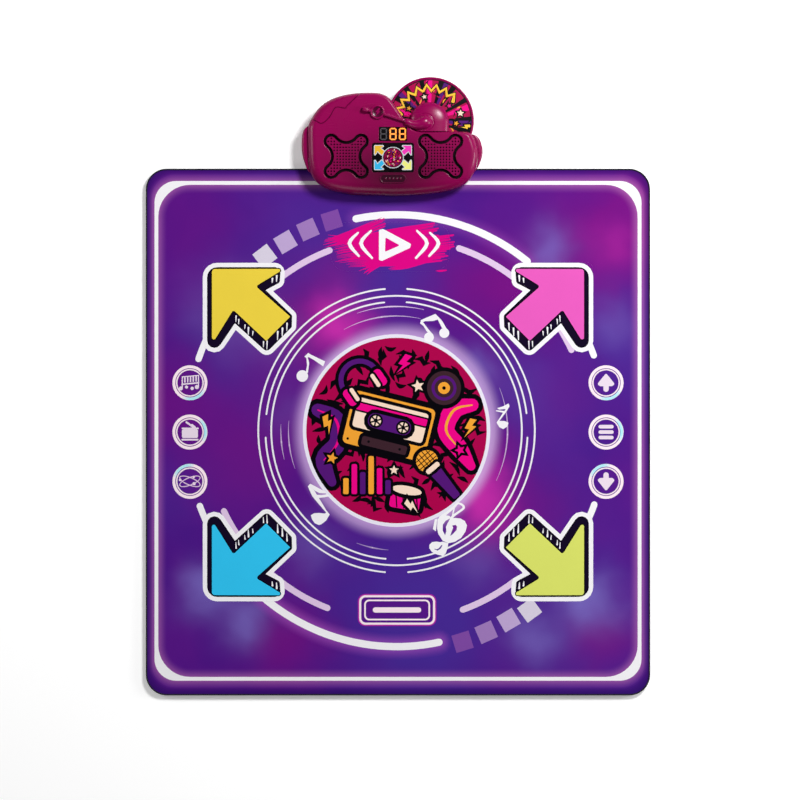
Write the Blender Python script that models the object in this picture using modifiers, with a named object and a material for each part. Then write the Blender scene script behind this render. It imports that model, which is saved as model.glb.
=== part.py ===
"""Electronic dance mat: a padded floor mat with twelve touch zones, and the plastic console
that is clamped over its top edge. Metres, +Z up. The origin is the mat's middle on the floor,
and +Y points at the console."""

import math

import bmesh
import bpy
from mathutils import Vector

# Clearances, and how far cutters and joined shapes run past a face
SEAT = 0.0003
KEY_CLEARANCE = 0.0005
SLIDE_CLEARANCE = 0.0004
PASS = 0.0010
OFFSET = 0.0001

# Mat, from the floor up
MAT_WIDTH = 0.900
MAT_LENGTH = 0.940
MAT_CORNER = 0.037
BASE_THICK = 0.0008
FOAM_THICK = 0.0040
FILM_THICK = 0.0003
SPACER_THICK = 0.0016
COVER_THICK = 0.0008
BINDING_THICK = 0.0008
BINDING_LIP = 0.0026

# Touch zones, as places from the mat's middle
KEY_TRAVEL = 0.0015
ARROW_CORNER = 0.009
HIDDEN_MARGIN = 0.0070
ARROW_REACH_X = 0.262
ARROW_REACH_Y = 0.222
ROUND_KEY_RADIUS = 0.03125
ROUND_KEY_REACH = 0.3713
ROUND_KEY_PITCH = 0.0879
START_WIDTH = 0.212
START_LENGTH = 0.088
START_CORNER = 0.030
START_X = -0.0143
START_Y = 0.3304
BAR_WIDTH = 0.1355
BAR_LENGTH = 0.0536
BAR_CORNER = 0.0116
BAR_Y = -0.3177

# Console shells
CONSOLE_X = -0.0089
WALL = 0.0024
CONSOLE_BOTTOM = 0.0020
PARTING = 0.0220
SIDE_TOP = 0.0330
FRONT_TOP = 0.0480
BOTTOM_ROUND = 0.0040
MAT_EDGE_GAP = 0.0012
SCREW_BOSS_RADIUS = 0.0042
SCREW_RADIUS = 0.0014
SCREW_HEAD_RADIUS = 0.0030
SCREW_HEAD = 0.0018
BOSS_TIP = 0.0010
EDGE_ROUND = 0.0008

# Record on the console's back corner
DISC_X = 0.0664
DISC_Y = 0.0843
DISC_RADIUS = 0.0777
DISC_TOP = 0.0296
DISC_WALL = 0.0020
DISC_RIM_WIDTH = 0.0036
DISC_RIM_RISE = 0.0010
LABEL_THICK = 0.0004
DOME_X = 0.0646
DOME_Y = 0.0821
DOME_RADIUS = 0.0348
DOME_TOP = 0.0462
DOME_FOOT = 0.0040
DOME_STRAIGHT = 0.0300
LOBE_INSET = 0.0015

# Tonearm on the console's front
PIVOT_X = -0.0275
PIVOT_Y = 0.0986
PIVOT_RADIUS = 0.0125
PIVOT_HEIGHT = 0.0042
PIVOT_RIM = 0.0018
PIVOT_SINK = 0.0010
ARM_RADIUS = 0.0031
WEIGHT_RADIUS = 0.0045
WEIGHT_X = -0.0541
WEIGHT_Y = 0.1038

# Speakers and their cross-shaped grilles
SPEAKER_REACH = 0.0838
SPEAKER_SHIFT = 0.0007
SPEAKER_Y = 0.0200
CROSS_LOBE = 0.0266
CROSS_LOBE_RADIUS = 0.0136
CROSS_WAIST = 0.0268
GROOVE_WIDTH = 0.0044
GRILLE_LIP = 0.0008
GROOVE_RIM = 0.0018
GRILLE_PLATE = 0.0018
GRILLE_SKIRT = 0.0009
GRILLE_DROP = 0.0008
GROOVE_DEPTH = 0.0052
HOLE_PITCH = 0.0053
HOLE_SIZE = 0.0022
SPEAKER_RADIUS = 0.0285
SPEAKER_DEPTH = 0.0180
BASKET_SHEET = 0.0012
MAGNET_RADIUS = 0.0150
MAGNET_HEIGHT = 0.0065
CONE_RADIUS = 0.0235
CONE_SURROUND = 0.0030
CONE_THICK = 0.0008
DUST_CAP_RADIUS = 0.0070
DUST_CAP_RISE = 0.0015

# Display, lamps and badge on the console's front
WINDOW_WIDTH = 0.0496
WINDOW_LENGTH = 0.0245
WINDOW_Y = 0.0596
WINDOW_CORNER = 0.0008
PANEL_WIDTH = 0.0739
PANEL_LENGTH = 0.0518
PANEL_Y = 0.0177
PANEL_CORNER = 0.0036
LENS_THICK = 0.0018
LENS_SINK = 0.0003
BOARD_THICK = 0.0016
MODULE_INSET = 0.0020
LAMP_BOARD_DROP = 0.0080
LAMP_BOARD_MARGIN = 0.0040
LAMP_REACH_X = 0.0270
LAMP_REACH_Y = 0.0165
LAMP_SIZE = 0.0050
BOARD_POST_RADIUS = 0.0018
BADGE_WIDTH = 0.0466
BADGE_LENGTH = 0.0164
BADGE_Y = -0.0198
BADGE_RISE = 0.0012
BADGE_RIM = 0.0012

# Power: cells, door and switch
CELL_RADIUS = 0.00725
CELL_LENGTH = 0.0505
CELL_NUB_RADIUS = 0.0026
CELL_NUB = 0.0012
CELL_EDGE = 0.0006
CELL_PITCH = 0.0160
CELL_COUNT = 3
CELL_BAY_X = -0.0675
CELL_BAY_Y = 0.0760
CONTACT_ROOM = 0.0034
CONTACT_THICK = 0.0005
CONTACT_RADIUS = 0.0032
BAY_WALL = 0.0016
DOOR_THICK = 0.0020
DOOR_LEDGE = 0.0020
DOOR_TAB_WIDTH = 0.0100
DOOR_TAB_REACH = 0.0085
DOOR_BOSS_HEIGHT = 0.0060
SWITCH_X = -0.0500
SWITCH_Z = 0.0130
SWITCH_KNOB = 0.0070
SWITCH_KNOB_HEIGHT = 0.0040
SWITCH_KNOB_PROUD = 0.0010
SWITCH_TRAVEL = 0.0040
SWITCH_BODY_WIDTH = 0.0170
SWITCH_BODY_DEPTH = 0.0065
SWITCH_BODY_HEIGHT = 0.0090

# Main board, mat tail, clamp and feet
MAIN_BOARD_WIDTH = 0.056
MAIN_BOARD_LENGTH = 0.054
MAIN_BOARD_Y = 0.0355
MAIN_BOARD_Z = 0.0245
MAIN_POST_RADIUS = 0.0025
CHIP_SIZE = 0.0160
CHIP_HEIGHT = 0.0022
TAIL_WIDTH = 0.036
TAIL_RISE_Y = 0.0075
TAIL_END = 0.0060
CLAMP_WIDTH = 0.180
CLAMP_UNDER_MAT = 0.034
CLAMP_OUTSIDE = 0.024
CLAMP_CORNER = 0.004
CLAMP_SCREW_REACH = 0.060
CLAMP_BOSS_HEIGHT = 0.0080
FOOT_RADIUS = 0.0075
FOOT_THICK = 0.0024
FOOT_SINK = 0.0001

# Points to the corners of one arrow zone, upper left on the mat, from its own middle
ARROW_POINTS = [
    (-0.085, 0.081),
    (-0.082, -0.076),
    (-0.064, -0.082),
    (-0.026, -0.036),
    (0.031, -0.083),
    (0.083, -0.030),
    (0.084, -0.009),
    (0.038, 0.040),
    (0.066, 0.080),
]

# The console's outline, anticlockwise: x, y and the width of the rounding above it
CONSOLE_POINTS = [
    (0.0000, -0.0489, 0.0200),
    (0.0571, -0.0461, 0.0200),
    (0.1018, -0.0393, 0.0180),
    (0.1286, -0.0277, 0.0160),
    (0.1438, -0.0089, 0.0140),
    (0.1504, 0.0125, 0.0130),
    (0.1511, 0.0321, 0.0120),
    (0.1452, 0.0527, 0.0120),
    (0.1348, 0.0632, 0.0080),
    (0.1161, 0.0646, 0.0040),
    (0.0839, 0.0646, 0.0035),
    (0.0518, 0.0645, 0.0035),
    (0.0375, 0.0673, 0.0030),
    (0.0286, 0.0750, 0.0030),
    (0.0171, 0.0904, 0.0045),
    (0.0054, 0.1080, 0.0050),
    (-0.0063, 0.1239, 0.0055),
    (-0.0207, 0.1320, 0.0060),
    (-0.0400, 0.1339, 0.0060),
    (-0.0666, 0.1329, 0.0070),
    (-0.0904, 0.1288, 0.0090),
    (-0.1111, 0.1214, 0.0110),
    (-0.1288, 0.1095, 0.0130),
    (-0.1436, 0.0904, 0.0140),
    (-0.1514, 0.0714, 0.0140),
    (-0.1511, 0.0339, 0.0140),
    (-0.1500, 0.0107, 0.0150),
    (-0.1455, -0.0107, 0.0170),
    (-0.1312, -0.0286, 0.0180),
    (-0.1036, -0.0407, 0.0190),
    (-0.0589, -0.0468, 0.0200),
]

# The arm's curled head, from the arm to its round end: x, y, how far below the arm, and radius
HEAD_POINTS = [
    (0.0206, 0.0833, 0.0000, 0.0034),
    (0.0229, 0.0826, 0.0004, 0.0050),
    (0.0262, 0.0806, 0.0012, 0.0062),
    (0.0320, 0.0780, 0.0024, 0.0070),
    (0.0430, 0.0770, 0.0044, 0.0082),
    (0.0500, 0.0786, 0.0054, 0.0092),
    (0.0571, 0.0814, 0.0056, 0.0097),
    (0.0618, 0.0833, 0.0058, 0.0086),
    (0.0650, 0.0846, 0.0060, 0.0060),
    (0.0663, 0.0851, 0.0062, 0.0032),
]

# Side caps: how far each stands out of the console's outline, from its lower to its upper end
LEFT_CAP_POINTS = [(-0.009, 0.0), (0.001, 0.0052), (0.033, 0.0110), (0.065, 0.0080), (0.075, 0.0)]
RIGHT_CAP_POINTS = [(-0.006, 0.0), (0.005, 0.0040), (0.031, 0.0080), (0.055, 0.0070), (0.0625, 0.0)]
CAP_BOTTOM = 0.0120
CAP_TOP = 0.0350
CAP_ROUND = 0.0060
CAP_BACK = 0.0040

# Stepped line pressed into the console's upper left corner
STEP_LINE_POINTS = [
    (-0.0614, 0.1295),
    (-0.0814, 0.1100),
    (-0.0860, 0.1052),
    (-0.1022, 0.1066),
    (-0.1125, 0.0904),
    (-0.1230, 0.0800),
    (-0.1304, 0.0787),
    (-0.1414, 0.0852),
]
STEP_LINE_WIDTH = 0.0014
STEP_LINE_DEPTH = 0.0008

# Places of the screws through the rear shell, and of the feet
CASE_SCREWS = [(-0.1370, 0.0180), (0.1370, 0.0180), (-0.1120, 0.0930), (-0.0200, 0.1165)]
FOOT_PLACES = [("left", -0.1180, 0.0600), ("right", 0.0900, 0.1200)]

# How finely round shapes are divided
ROUND_STEPS = 16
SMOOTH_STEPS = 2
BORE_STEPS = 8
BOSS_STEPS = 10
ARM_STEPS = 12
HEAD_STEPS = 12
SPEAKER_STEPS = 20
LOBE_STEPS = 28
DISC_STEPS = 36
ROUND_TURNS = (0, 30, 60, 90)
DOME_TURNS = (0, 18, 36, 54, 70, 82)


def level(bottom, thick):
    """The underside and top of a layer, and where the next one starts."""
    return bottom, bottom + thick, bottom + thick + SEAT


BASE_BOTTOM, BASE_TOP, FOAM_BOTTOM = level(0.0, BASE_THICK)
FOAM_BOTTOM, FOAM_TOP, LOWER_FILM_BOTTOM = level(FOAM_BOTTOM, FOAM_THICK)
LOWER_FILM_BOTTOM, LOWER_FILM_TOP, SPACER_BOTTOM = level(LOWER_FILM_BOTTOM, FILM_THICK)
SPACER_BOTTOM, SPACER_TOP, UPPER_FILM_BOTTOM = level(SPACER_BOTTOM, SPACER_THICK)
UPPER_FILM_BOTTOM, UPPER_FILM_TOP, COVER_BOTTOM = level(UPPER_FILM_BOTTOM, FILM_THICK)
COVER_BOTTOM, COVER_TOP, BINDING_LIP_BOTTOM = level(COVER_BOTTOM, COVER_THICK)
BINDING_TOP = BINDING_LIP_BOTTOM + BINDING_THICK
KEY_BOTTOM = LOWER_FILM_TOP + SEAT + KEY_TRAVEL
CONSOLE_Y = MAT_LENGTH / 2
CONSOLE_AT = (CONSOLE_X, CONSOLE_Y, 0.0)
SHELF_BOTTOM = BINDING_TOP + SEAT
SHELF_TOP = SHELF_BOTTOM + WALL
FLOOR_TOP = CONSOLE_BOTTOM + WALL
CLAMP_THICK = CONSOLE_BOTTOM - SEAT

# The side caps' heights, and the share of their full swell at each
CAP_SHARES = [
    (0.55, CAP_BOTTOM),
    (1.0, CAP_BOTTOM + CAP_ROUND),
    (1.0, CAP_TOP - CAP_ROUND),
    (0.9, CAP_TOP - CAP_ROUND * 0.4),
    (0.5, CAP_TOP),
]

for leftover in list(bpy.data.objects):
    bpy.data.objects.remove(leftover, do_unlink=True)
parts = bpy.data.collections.new("electronic_dance_mat")
cutters = bpy.data.collections.new("cutters")
bpy.context.scene.collection.children.link(parts)
bpy.context.scene.collection.children.link(cutters)


def finish(name, colour, roughness, metallic=0.0):
    made = bpy.data.materials.new(name)
    made.use_nodes = True
    shader = made.node_tree.nodes["Principled BSDF"]
    shader.inputs["Base Color"].default_value = (*colour, 1.0)
    shader.inputs["Roughness"].default_value = roughness
    shader.inputs["Metallic"].default_value = metallic
    return made


MAROON = finish("maroon_plastic", (0.35, 0.003, 0.12), 0.42)
DARK_MAROON = finish("dark_maroon_plastic", (0.22, 0.002, 0.07), 0.5)
PURPLE_CLOTH = finish("printed_cloth", (0.09, 0.02, 0.33), 0.75)
BLACK_CLOTH = finish("black_cloth", (0.012, 0.01, 0.02), 0.9)
FOAM_WHITE = finish("white_foam", (0.78, 0.78, 0.76), 0.95)
FILM_CLEAR = finish("circuit_film", (0.55, 0.60, 0.62), 0.3)
YELLOW_PRINT = finish("yellow_print", (0.89, 0.70, 0.07), 0.7)
PINK_PRINT = finish("pink_print", (0.88, 0.11, 0.60), 0.7)
CYAN_PRINT = finish("cyan_print", (0.03, 0.52, 0.83), 0.7)
LIME_PRINT = finish("lime_print", (0.69, 0.77, 0.15), 0.7)
MAGENTA_PRINT = finish("magenta_print", (0.85, 0.0, 0.26), 0.7)
VIOLET_PRINT = finish("violet_print", (0.16, 0.05, 0.40), 0.7)
DISC_PRINT = finish("record_print", (0.80, 0.02, 0.25), 0.4)
SMOKED = finish("smoked_lens", (0.01, 0.01, 0.012), 0.12)
BOARD_GREEN = finish("circuit_board", (0.02, 0.20, 0.07), 0.5)
LAMP_WHITE = finish("lamp_housing", (0.75, 0.75, 0.75), 0.4)
STEEL = finish("zinc_steel", (0.55, 0.55, 0.56), 0.35, 1.0)
MAGNET_GREY = finish("magnet_grey", (0.10, 0.10, 0.11), 0.55, 0.6)
CONE_BLACK = finish("paper_cone", (0.02, 0.02, 0.022), 0.85)
CELL_SKIN = finish("cell_skin", (0.10, 0.11, 0.13), 0.35, 0.3)
RUBBER = finish("black_rubber", (0.015, 0.015, 0.016), 0.85)
SWITCH_BLACK = finish("switch_plastic", (0.02, 0.02, 0.022), 0.5)


def add(name, data, material, at, collection=None):
    made = bpy.data.objects.new(name, data)
    made.location = at
    if material:
        data.materials.append(material)
    (collection or parts).objects.link(made)
    return made


def as_cutter(obj):
    """Hides a shape that only cuts or joins another."""
    parts.objects.unlink(obj)
    cutters.objects.link(obj)
    obj.hide_render = True
    obj.display_type = "WIRE"
    return obj


def combine(target, operation, *others):
    for other in others:
        modifier = target.modifiers.new(other.name, "BOOLEAN")
        modifier.operation = operation
        modifier.solver = "EXACT"
        modifier.object = as_cutter(other)
    return target


def mesh_object(name, bm, material, at):
    mesh = bpy.data.meshes.new(name)
    bm.to_mesh(mesh)
    bm.free()
    return add(name, mesh, material, at)


def ring(radius, steps=ROUND_STEPS, x=0.0, y=0.0):
    return [
        (x + radius * math.cos(math.tau * i / steps), y + radius * math.sin(math.tau * i / steps))
        for i in range(steps)
    ]


def arc(x, y, radius, start, end, steps):
    """Points of an arc from one angle to another, in degrees, both ends included."""
    angles = [math.radians(start + (end - start) * i / steps) for i in range(steps + 1)]
    return [(x + radius * math.cos(a), y + radius * math.sin(a)) for a in angles]


def rounded_rectangle(width, length, corner, steps=3):
    points = []
    for side_x, side_y, start in ((1, -1, -90), (1, 1, 0), (-1, 1, 90), (-1, -1, 180)):
        x = side_x * (width / 2 - corner)
        y = side_y * (length / 2 - corner)
        points += arc(x, y, corner, start, start + 90, steps)
    return points


def rounded_polygon(points, corner, steps=2):
    """A polygon with each corner replaced by a short curve that starts and ends `corner` away."""
    loop = []
    for i, here in enumerate(points):
        here = Vector(here)
        back = Vector(points[i - 1])
        ahead = Vector(points[(i + 1) % len(points)])
        reach = min(corner, (back - here).length / 2, (ahead - here).length / 2)
        start = here + (back - here).normalized() * reach
        end = here + (ahead - here).normalized() * reach
        for step in range(steps + 1):
            t = step / steps
            loop.append(tuple(start * (1 - t) ** 2 + here * 2 * t * (1 - t) + end * t**2))
    return loop


def smooth_path(points, steps, closed=True):
    """A Catmull-Rom curve through the points, each span in `steps` parts."""
    curve = []
    count = len(points)
    for i in range(count if closed else count - 1):
        near = [i + j for j in (-1, 0, 1, 2)]
        near = [n % count if closed else min(max(n, 0), count - 1) for n in near]
        a, b, c, d = (Vector(points[n]) for n in near)
        for step in range(steps):
            t = step / steps
            bend = (2 * a - 5 * b + 4 * c - d) * t**2 + (3 * b - a - 3 * c + d) * t**3
            curve.append(tuple((2 * b + (c - a) * t + bend) / 2))
    return curve if closed else curve + [points[-1]]


def outward(loop):
    """The unit normal at each point of an anticlockwise loop."""
    normals = []
    for i in range(len(loop)):
        along = Vector(loop[(i + 1) % len(loop)][:2]) - Vector(loop[i - 1][:2])
        normals.append(Vector((along.y, -along.x)).normalized())
    return normals


def grown(loop, distance):
    return [
        (p[0] + n.x * distance, p[1] + n.y * distance) for p, n in zip(loop, outward(loop))
    ]


def inside(x, y, loop):
    """Whether a point lies in a loop, by counting the edges to its right."""
    crossings = 0
    for (x1, y1), (x2, y2) in zip(loop, loop[1:] + loop[:1]):
        if (y1 > y) != (y2 > y) and x < x1 + (y - y1) / (y2 - y1) * (x2 - x1):
            crossings += 1
    return crossings % 2 == 1


def plate(name, loops, bottom, top, material, at=(0.0, 0.0, 0.0)):
    """A flat piece from a 2D curve: the first loop is its outline and the others are holes."""
    curve = bpy.data.curves.new(name, "CURVE")
    curve.dimensions = "2D"
    curve.fill_mode = "BOTH"
    curve.extrude = (top - bottom) / 2
    for loop in loops:
        spline = curve.splines.new("POLY")
        spline.points.add(len(loop) - 1)
        for point, place in zip(spline.points, loop):
            point.co = (place[0], place[1], 0.0, 1.0)
        spline.use_cyclic_u = True
    flat = bpy.data.objects.new(name, curve)
    parts.objects.link(flat)
    graph = bpy.context.evaluated_depsgraph_get()
    mesh = bpy.data.meshes.new_from_object(flat.evaluated_get(graph))
    bpy.data.objects.remove(flat)
    bpy.data.curves.remove(curve)
    bm = bmesh.new()
    bm.from_mesh(mesh)
    bpy.data.meshes.remove(mesh)
    bmesh.ops.remove_doubles(bm, verts=bm.verts, dist=1e-6)
    bmesh.ops.recalc_face_normals(bm, faces=bm.faces)
    if bm.calc_volume(signed=True) < 0:
        bmesh.ops.reverse_faces(bm, faces=bm.faces)
    place = (at[0], at[1], at[2] + (bottom + top) / 2)
    return mesh_object(name, bm, material, place)


def loft(name, rings, material, at=(0.0, 0.0, 0.0), closed=False, bottom=True, top=True):
    """Skins anticlockwise rings of equal length, from the lowest up. closed joins last to first."""
    bm = bmesh.new()
    rows = [[bm.verts.new(point) for point in points] for points in rings]
    pairs = list(zip(rows, rows[1:]))
    if closed:
        pairs.append((rows[-1], rows[0]))
    for low, high in pairs:
        for i in range(len(low)):
            j = (i + 1) % len(low)
            bm.faces.new((low[i], low[j], high[j], high[i]))
    if bottom and not closed:
        bm.faces.new(reversed(rows[0]))
    if top and not closed:
        bm.faces.new(rows[-1])
    return mesh_object(name, bm, material, at)


def turned(name, profile, material, at, steps=ROUND_STEPS):
    """A turned piece. The profile's (radius, height) points run from the top, outside, to the bottom."""
    mesh = bpy.data.meshes.new(name)
    edges = [(i, i + 1) for i in range(len(profile) - 1)]
    mesh.from_pydata([(r, 0.0, z) for r, z in profile], edges, [])
    made = add(name, mesh, material, at)
    screw = made.modifiers.new("turn", "SCREW")
    screw.steps = steps
    screw.render_steps = steps
    screw.use_merge_vertices = True
    screw.merge_threshold = 0.00001
    screw.use_smooth_shade = False
    return made


def screw(name, x, y, bottom, top, head=SCREW_HEAD):
    """A pan-head screw on the console, its head down and its shank up to `top`."""
    profile = [
        (0.0, top),
        (SCREW_RADIUS, top - SCREW_RADIUS),
        (SCREW_RADIUS, bottom + head),
        (SCREW_HEAD_RADIUS, bottom + head),
        (SCREW_HEAD_RADIUS, bottom),
        (0.0, bottom),
    ]
    return turned(name, profile, STEEL, (CONSOLE_X + x, CONSOLE_Y + y, 0.0), BOSS_STEPS)


def block(name, low, high, material=None, at=(0.0, 0.0, 0.0)):
    bm = bmesh.new()
    bmesh.ops.create_cube(bm, size=1.0)
    size = Vector(high) - Vector(low)
    bmesh.ops.scale(bm, vec=size, verts=bm.verts)
    bmesh.ops.translate(bm, vec=Vector(low) + size / 2, verts=bm.verts)
    return mesh_object(name, bm, material, at)


def rod(name, radius, start, end, material=None, at=(0.0, 0.0, 0.0), steps=ROUND_STEPS):
    """A round bar between two points."""
    bm = bmesh.new()
    start = Vector(start)
    run = Vector(end) - start
    bmesh.ops.create_cone(
        bm, cap_ends=True, segments=steps, radius1=radius, radius2=radius, depth=run.length
    )
    turn = run.to_track_quat("Z", "Y").to_matrix()
    bmesh.ops.rotate(bm, matrix=turn, verts=bm.verts)
    bmesh.ops.translate(bm, vec=start + run / 2, verts=bm.verts)
    return mesh_object(name, bm, material, at)


def perforated_hat(name, rings, holes, material, at):
    """A hat-shaped piece: rings from the top's edge out over the brim and up inside, with through holes."""
    bm = bmesh.new()
    rows = [[bm.verts.new(point) for point in points] for points in rings]
    for high, low in zip(rows, rows[1:]):
        for i in range(len(low)):
            j = (i + 1) % len(low)
            bm.faces.new((low[i], low[j], high[j], high[i]))
    caps = []
    for row, z, up in ((rows[0], rings[0][0][2], True), (rows[-1], rings[-1][0][2], False)):
        loops = [row] + [[bm.verts.new((x, y, z)) for x, y in hole] for hole in holes]
        edges = []
        for loop in loops:
            for a, b in zip(loop, loop[1:] + loop[:1]):
                edges.append(bm.edges.get((a, b)) or bm.edges.new((a, b)))
        bmesh.ops.triangle_fill(bm, edges=edges, normal=(0.0, 0.0, 1.0 if up else -1.0))
        caps.append(loops[1:])
    for high, low in zip(*caps):
        for i in range(len(high)):
            j = (i + 1) % len(high)
            bm.faces.new((high[i], high[j], low[j], low[i]))
    bmesh.ops.recalc_face_normals(bm, faces=bm.faces)
    return mesh_object(name, bm, material, at)


def with_height(loop, z):
    return [(p[0], p[1], z) for p in loop]


# Touch zones: each is its own patch of the cover, which dips into the layers below it
arrow_loop = rounded_polygon(ARROW_POINTS, ARROW_CORNER)
round_loop = ring(ROUND_KEY_RADIUS)
start_loop = rounded_rectangle(START_WIDTH, START_LENGTH, START_CORNER)
bar_loop = rounded_rectangle(BAR_WIDTH, BAR_LENGTH, BAR_CORNER)


def mirrored(loop, flip_x, flip_y):
    """The loop with an axis or both turned round, still anticlockwise."""
    turned_loop = [(x * flip_x, y * flip_y) for x, y in loop]
    return turned_loop if flip_x * flip_y > 0 else turned_loop[::-1]


ZONES = [
    ("arrow_key_yellow", arrow_loop, -ARROW_REACH_X, ARROW_REACH_Y, YELLOW_PRINT),
    ("arrow_key_pink", mirrored(arrow_loop, -1, 1), ARROW_REACH_X, ARROW_REACH_Y, PINK_PRINT),
    ("arrow_key_blue", mirrored(arrow_loop, 1, -1), -ARROW_REACH_X, -ARROW_REACH_Y, CYAN_PRINT),
    ("arrow_key_lime", mirrored(arrow_loop, -1, -1), ARROW_REACH_X, -ARROW_REACH_Y, LIME_PRINT),
    ("start_key", start_loop, START_X, START_Y, MAGENTA_PRINT),
    ("bar_key", bar_loop, 0.0, BAR_Y, VIOLET_PRINT),
]
for side, names in ((-1, ("piano", "drum", "orbit")), (1, ("up", "menu", "down"))):
    for row, key in enumerate(names):
        place = (side * ROUND_KEY_REACH, (1 - row) * ROUND_KEY_PITCH)
        ZONES.append((f"round_key_{key}", round_loop, *place, VIOLET_PRINT))

for key, loop, x, y, print_colour in ZONES:
    plate(key, [loop], KEY_BOTTOM, COVER_TOP, print_colour, (x, y, 0.0))


def zone_holes():
    return [
        [(x + px, y + py) for px, py in grown(loop, KEY_CLEARANCE)] for _, loop, x, y, _ in ZONES
    ]


def plain_holes():
    """The hidden layers' holes: square-cornered, and eight-sided round the round keys."""
    eight = ring((ROUND_KEY_RADIUS + KEY_CLEARANCE) / math.cos(math.pi / 8), 8)
    holes = []
    for key, loop, x, y, _ in ZONES:
        if key.startswith("round"):
            shape = eight
        elif key.startswith("arrow"):
            shape = grown(mirrored(ARROW_POINTS, -1 if x > 0 else 1, 1 if y > 0 else -1), HIDDEN_MARGIN)
        else:
            shape = grown(loop, KEY_CLEARANCE)
        holes.append([(x + px, y + py) for px, py in shape])
    return holes


# Layers of the mat, inside the edge binding
layer_inset = BINDING_THICK + SEAT
layer_loop = rounded_rectangle(
    MAT_WIDTH - 2 * layer_inset, MAT_LENGTH - 2 * layer_inset, MAT_CORNER - layer_inset, 4
)
base_cloth = plate("mat_base_cloth", [layer_loop], BASE_BOTTOM, BASE_TOP, BLACK_CLOTH)
foam_core = plate("mat_foam_core", [layer_loop], FOAM_BOTTOM, FOAM_TOP, FOAM_WHITE)
plate("lower_circuit_film", [layer_loop], LOWER_FILM_BOTTOM, LOWER_FILM_TOP, FILM_CLEAR)
plate("spacer_layer", [layer_loop, *plain_holes()], SPACER_BOTTOM, SPACER_TOP, FOAM_WHITE)
plate("upper_circuit_film", [layer_loop, *plain_holes()], UPPER_FILM_BOTTOM, UPPER_FILM_TOP, FILM_CLEAR)
plate("mat_top_cover", [layer_loop, *zone_holes()], COVER_BOTTOM, COVER_TOP, PURPLE_CLOTH)

# Edge binding: an L-shaped strip all round, over the cover's edge
binding_profile = [
    (0.0, 0.0),
    (0.0, BINDING_TOP - BINDING_THICK / 2),
    (-BINDING_THICK / 2, BINDING_TOP),
    (-BINDING_LIP, BINDING_TOP),
    (-BINDING_LIP, BINDING_LIP_BOTTOM),
    (-BINDING_THICK, BINDING_LIP_BOTTOM),
    (-BINDING_THICK, 0.0),
]
binding_rings = []
for step_in, z in binding_profile:
    edge = rounded_rectangle(
        MAT_WIDTH + 2 * step_in, MAT_LENGTH + 2 * step_in, MAT_CORNER + step_in, 4
    )
    binding_rings.append(with_height(edge, z))
binding = loft("mat_edge_binding", binding_rings, BLACK_CLOTH, closed=True)

# Clamp plate: holds the mat's top edge against the console from below
clamp_loop = rounded_rectangle(CLAMP_WIDTH, CLAMP_UNDER_MAT + CLAMP_OUTSIDE, CLAMP_CORNER)
clamp_at = (CONSOLE_X, CONSOLE_Y + (CLAMP_OUTSIDE - CLAMP_UNDER_MAT) / 2, 0.0)
clamp = plate("mat_clamp_plate", [clamp_loop], 0.0, CLAMP_THICK, DARK_MAROON, clamp_at)
for layer in (base_cloth, foam_core, binding):
    pocket = plate(
        f"clamp_pocket_{layer.name}", [grown(clamp_loop, SEAT)], -PASS, CLAMP_THICK + SEAT, None, clamp_at
    )
    combine(layer, "DIFFERENCE", pocket)

# Mat tail: the ribbon of printed tracks from the films up to the main board
tail_low = LOWER_FILM_TOP + SEAT
tail_high = tail_low + FILM_THICK
tail_top = MAIN_BOARD_Z - SEAT
tail_half = TAIL_WIDTH / 2
tail_window = block(
    "tail_window",
    (-tail_half - SEAT, -BINDING_LIP, tail_low - SEAT),
    (tail_half + SEAT, BINDING_LIP, tail_high + SEAT),
    None,
    CONSOLE_AT,
)
combine(binding, "DIFFERENCE", tail_window)
tail = block("mat_tail_ribbon", (-tail_half, SEAT - layer_inset, tail_low),
             (tail_half, TAIL_RISE_Y, tail_high), FILM_CLEAR, CONSOLE_AT)
tail_rise = block("tail_rise", (-tail_half, TAIL_RISE_Y - FILM_THICK, tail_low),
                  (tail_half, TAIL_RISE_Y, tail_top), None, CONSOLE_AT)
tail_end = block("tail_end", (-tail_half, TAIL_RISE_Y - FILM_THICK, tail_top - FILM_THICK),
                 (tail_half, TAIL_RISE_Y + TAIL_END, tail_top), None, CONSOLE_AT)
combine(tail, "UNION", tail_rise, tail_end)

# Console outline, shared by both shells
console_loop = smooth_path(CONSOLE_POINTS, SMOOTH_STEPS)
console_normals = outward(console_loop)


def console_ring(turn, z):
    """The outline drawn in by its own rounding: turn is 0 at the side and 90 degrees on top."""
    drawn_in = 1 - math.cos(math.radians(turn))
    return [
        (x - n.x * width * drawn_in, y - n.y * width * drawn_in, z)
        for (x, y, width), n in zip(console_loop, console_normals)
    ]


def outline_trim(name, gap, top):
    """A cutter in the console's outline, for a piece that stands beside the console."""
    return plate(name, [grown(console_loop, gap)], -PASS, top, None, CONSOLE_AT)


def cross_loop(shrink, steps=5):
    """The grille's cross: four round lobes joined by hollow arcs, drawn in by shrink."""
    reach = CROSS_LOBE
    waist_middle = (2 * reach**2 - (CROSS_WAIST - CROSS_LOBE_RADIUS) ** 2) / (
        2 * (reach - CROSS_WAIST + CROSS_LOBE_RADIUS)
    )
    waist_radius = waist_middle - CROSS_WAIST + shrink
    lobe_radius = CROSS_LOBE_RADIUS - shrink
    lean = math.degrees(math.atan2(waist_middle - reach, reach))
    points = []
    for quarter in range(4):
        corner = arc(reach, reach, lobe_radius, -90 + lean, 180 - lean, steps)
        corner += arc(0.0, waist_middle, waist_radius, -lean, -180 + lean, 3)[1:-1]
        turn = math.radians(90 * quarter)
        for x, y in corner:
            points.append(
                (x * math.cos(turn) - y * math.sin(turn), x * math.sin(turn) + y * math.cos(turn))
            )
    return points


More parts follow.
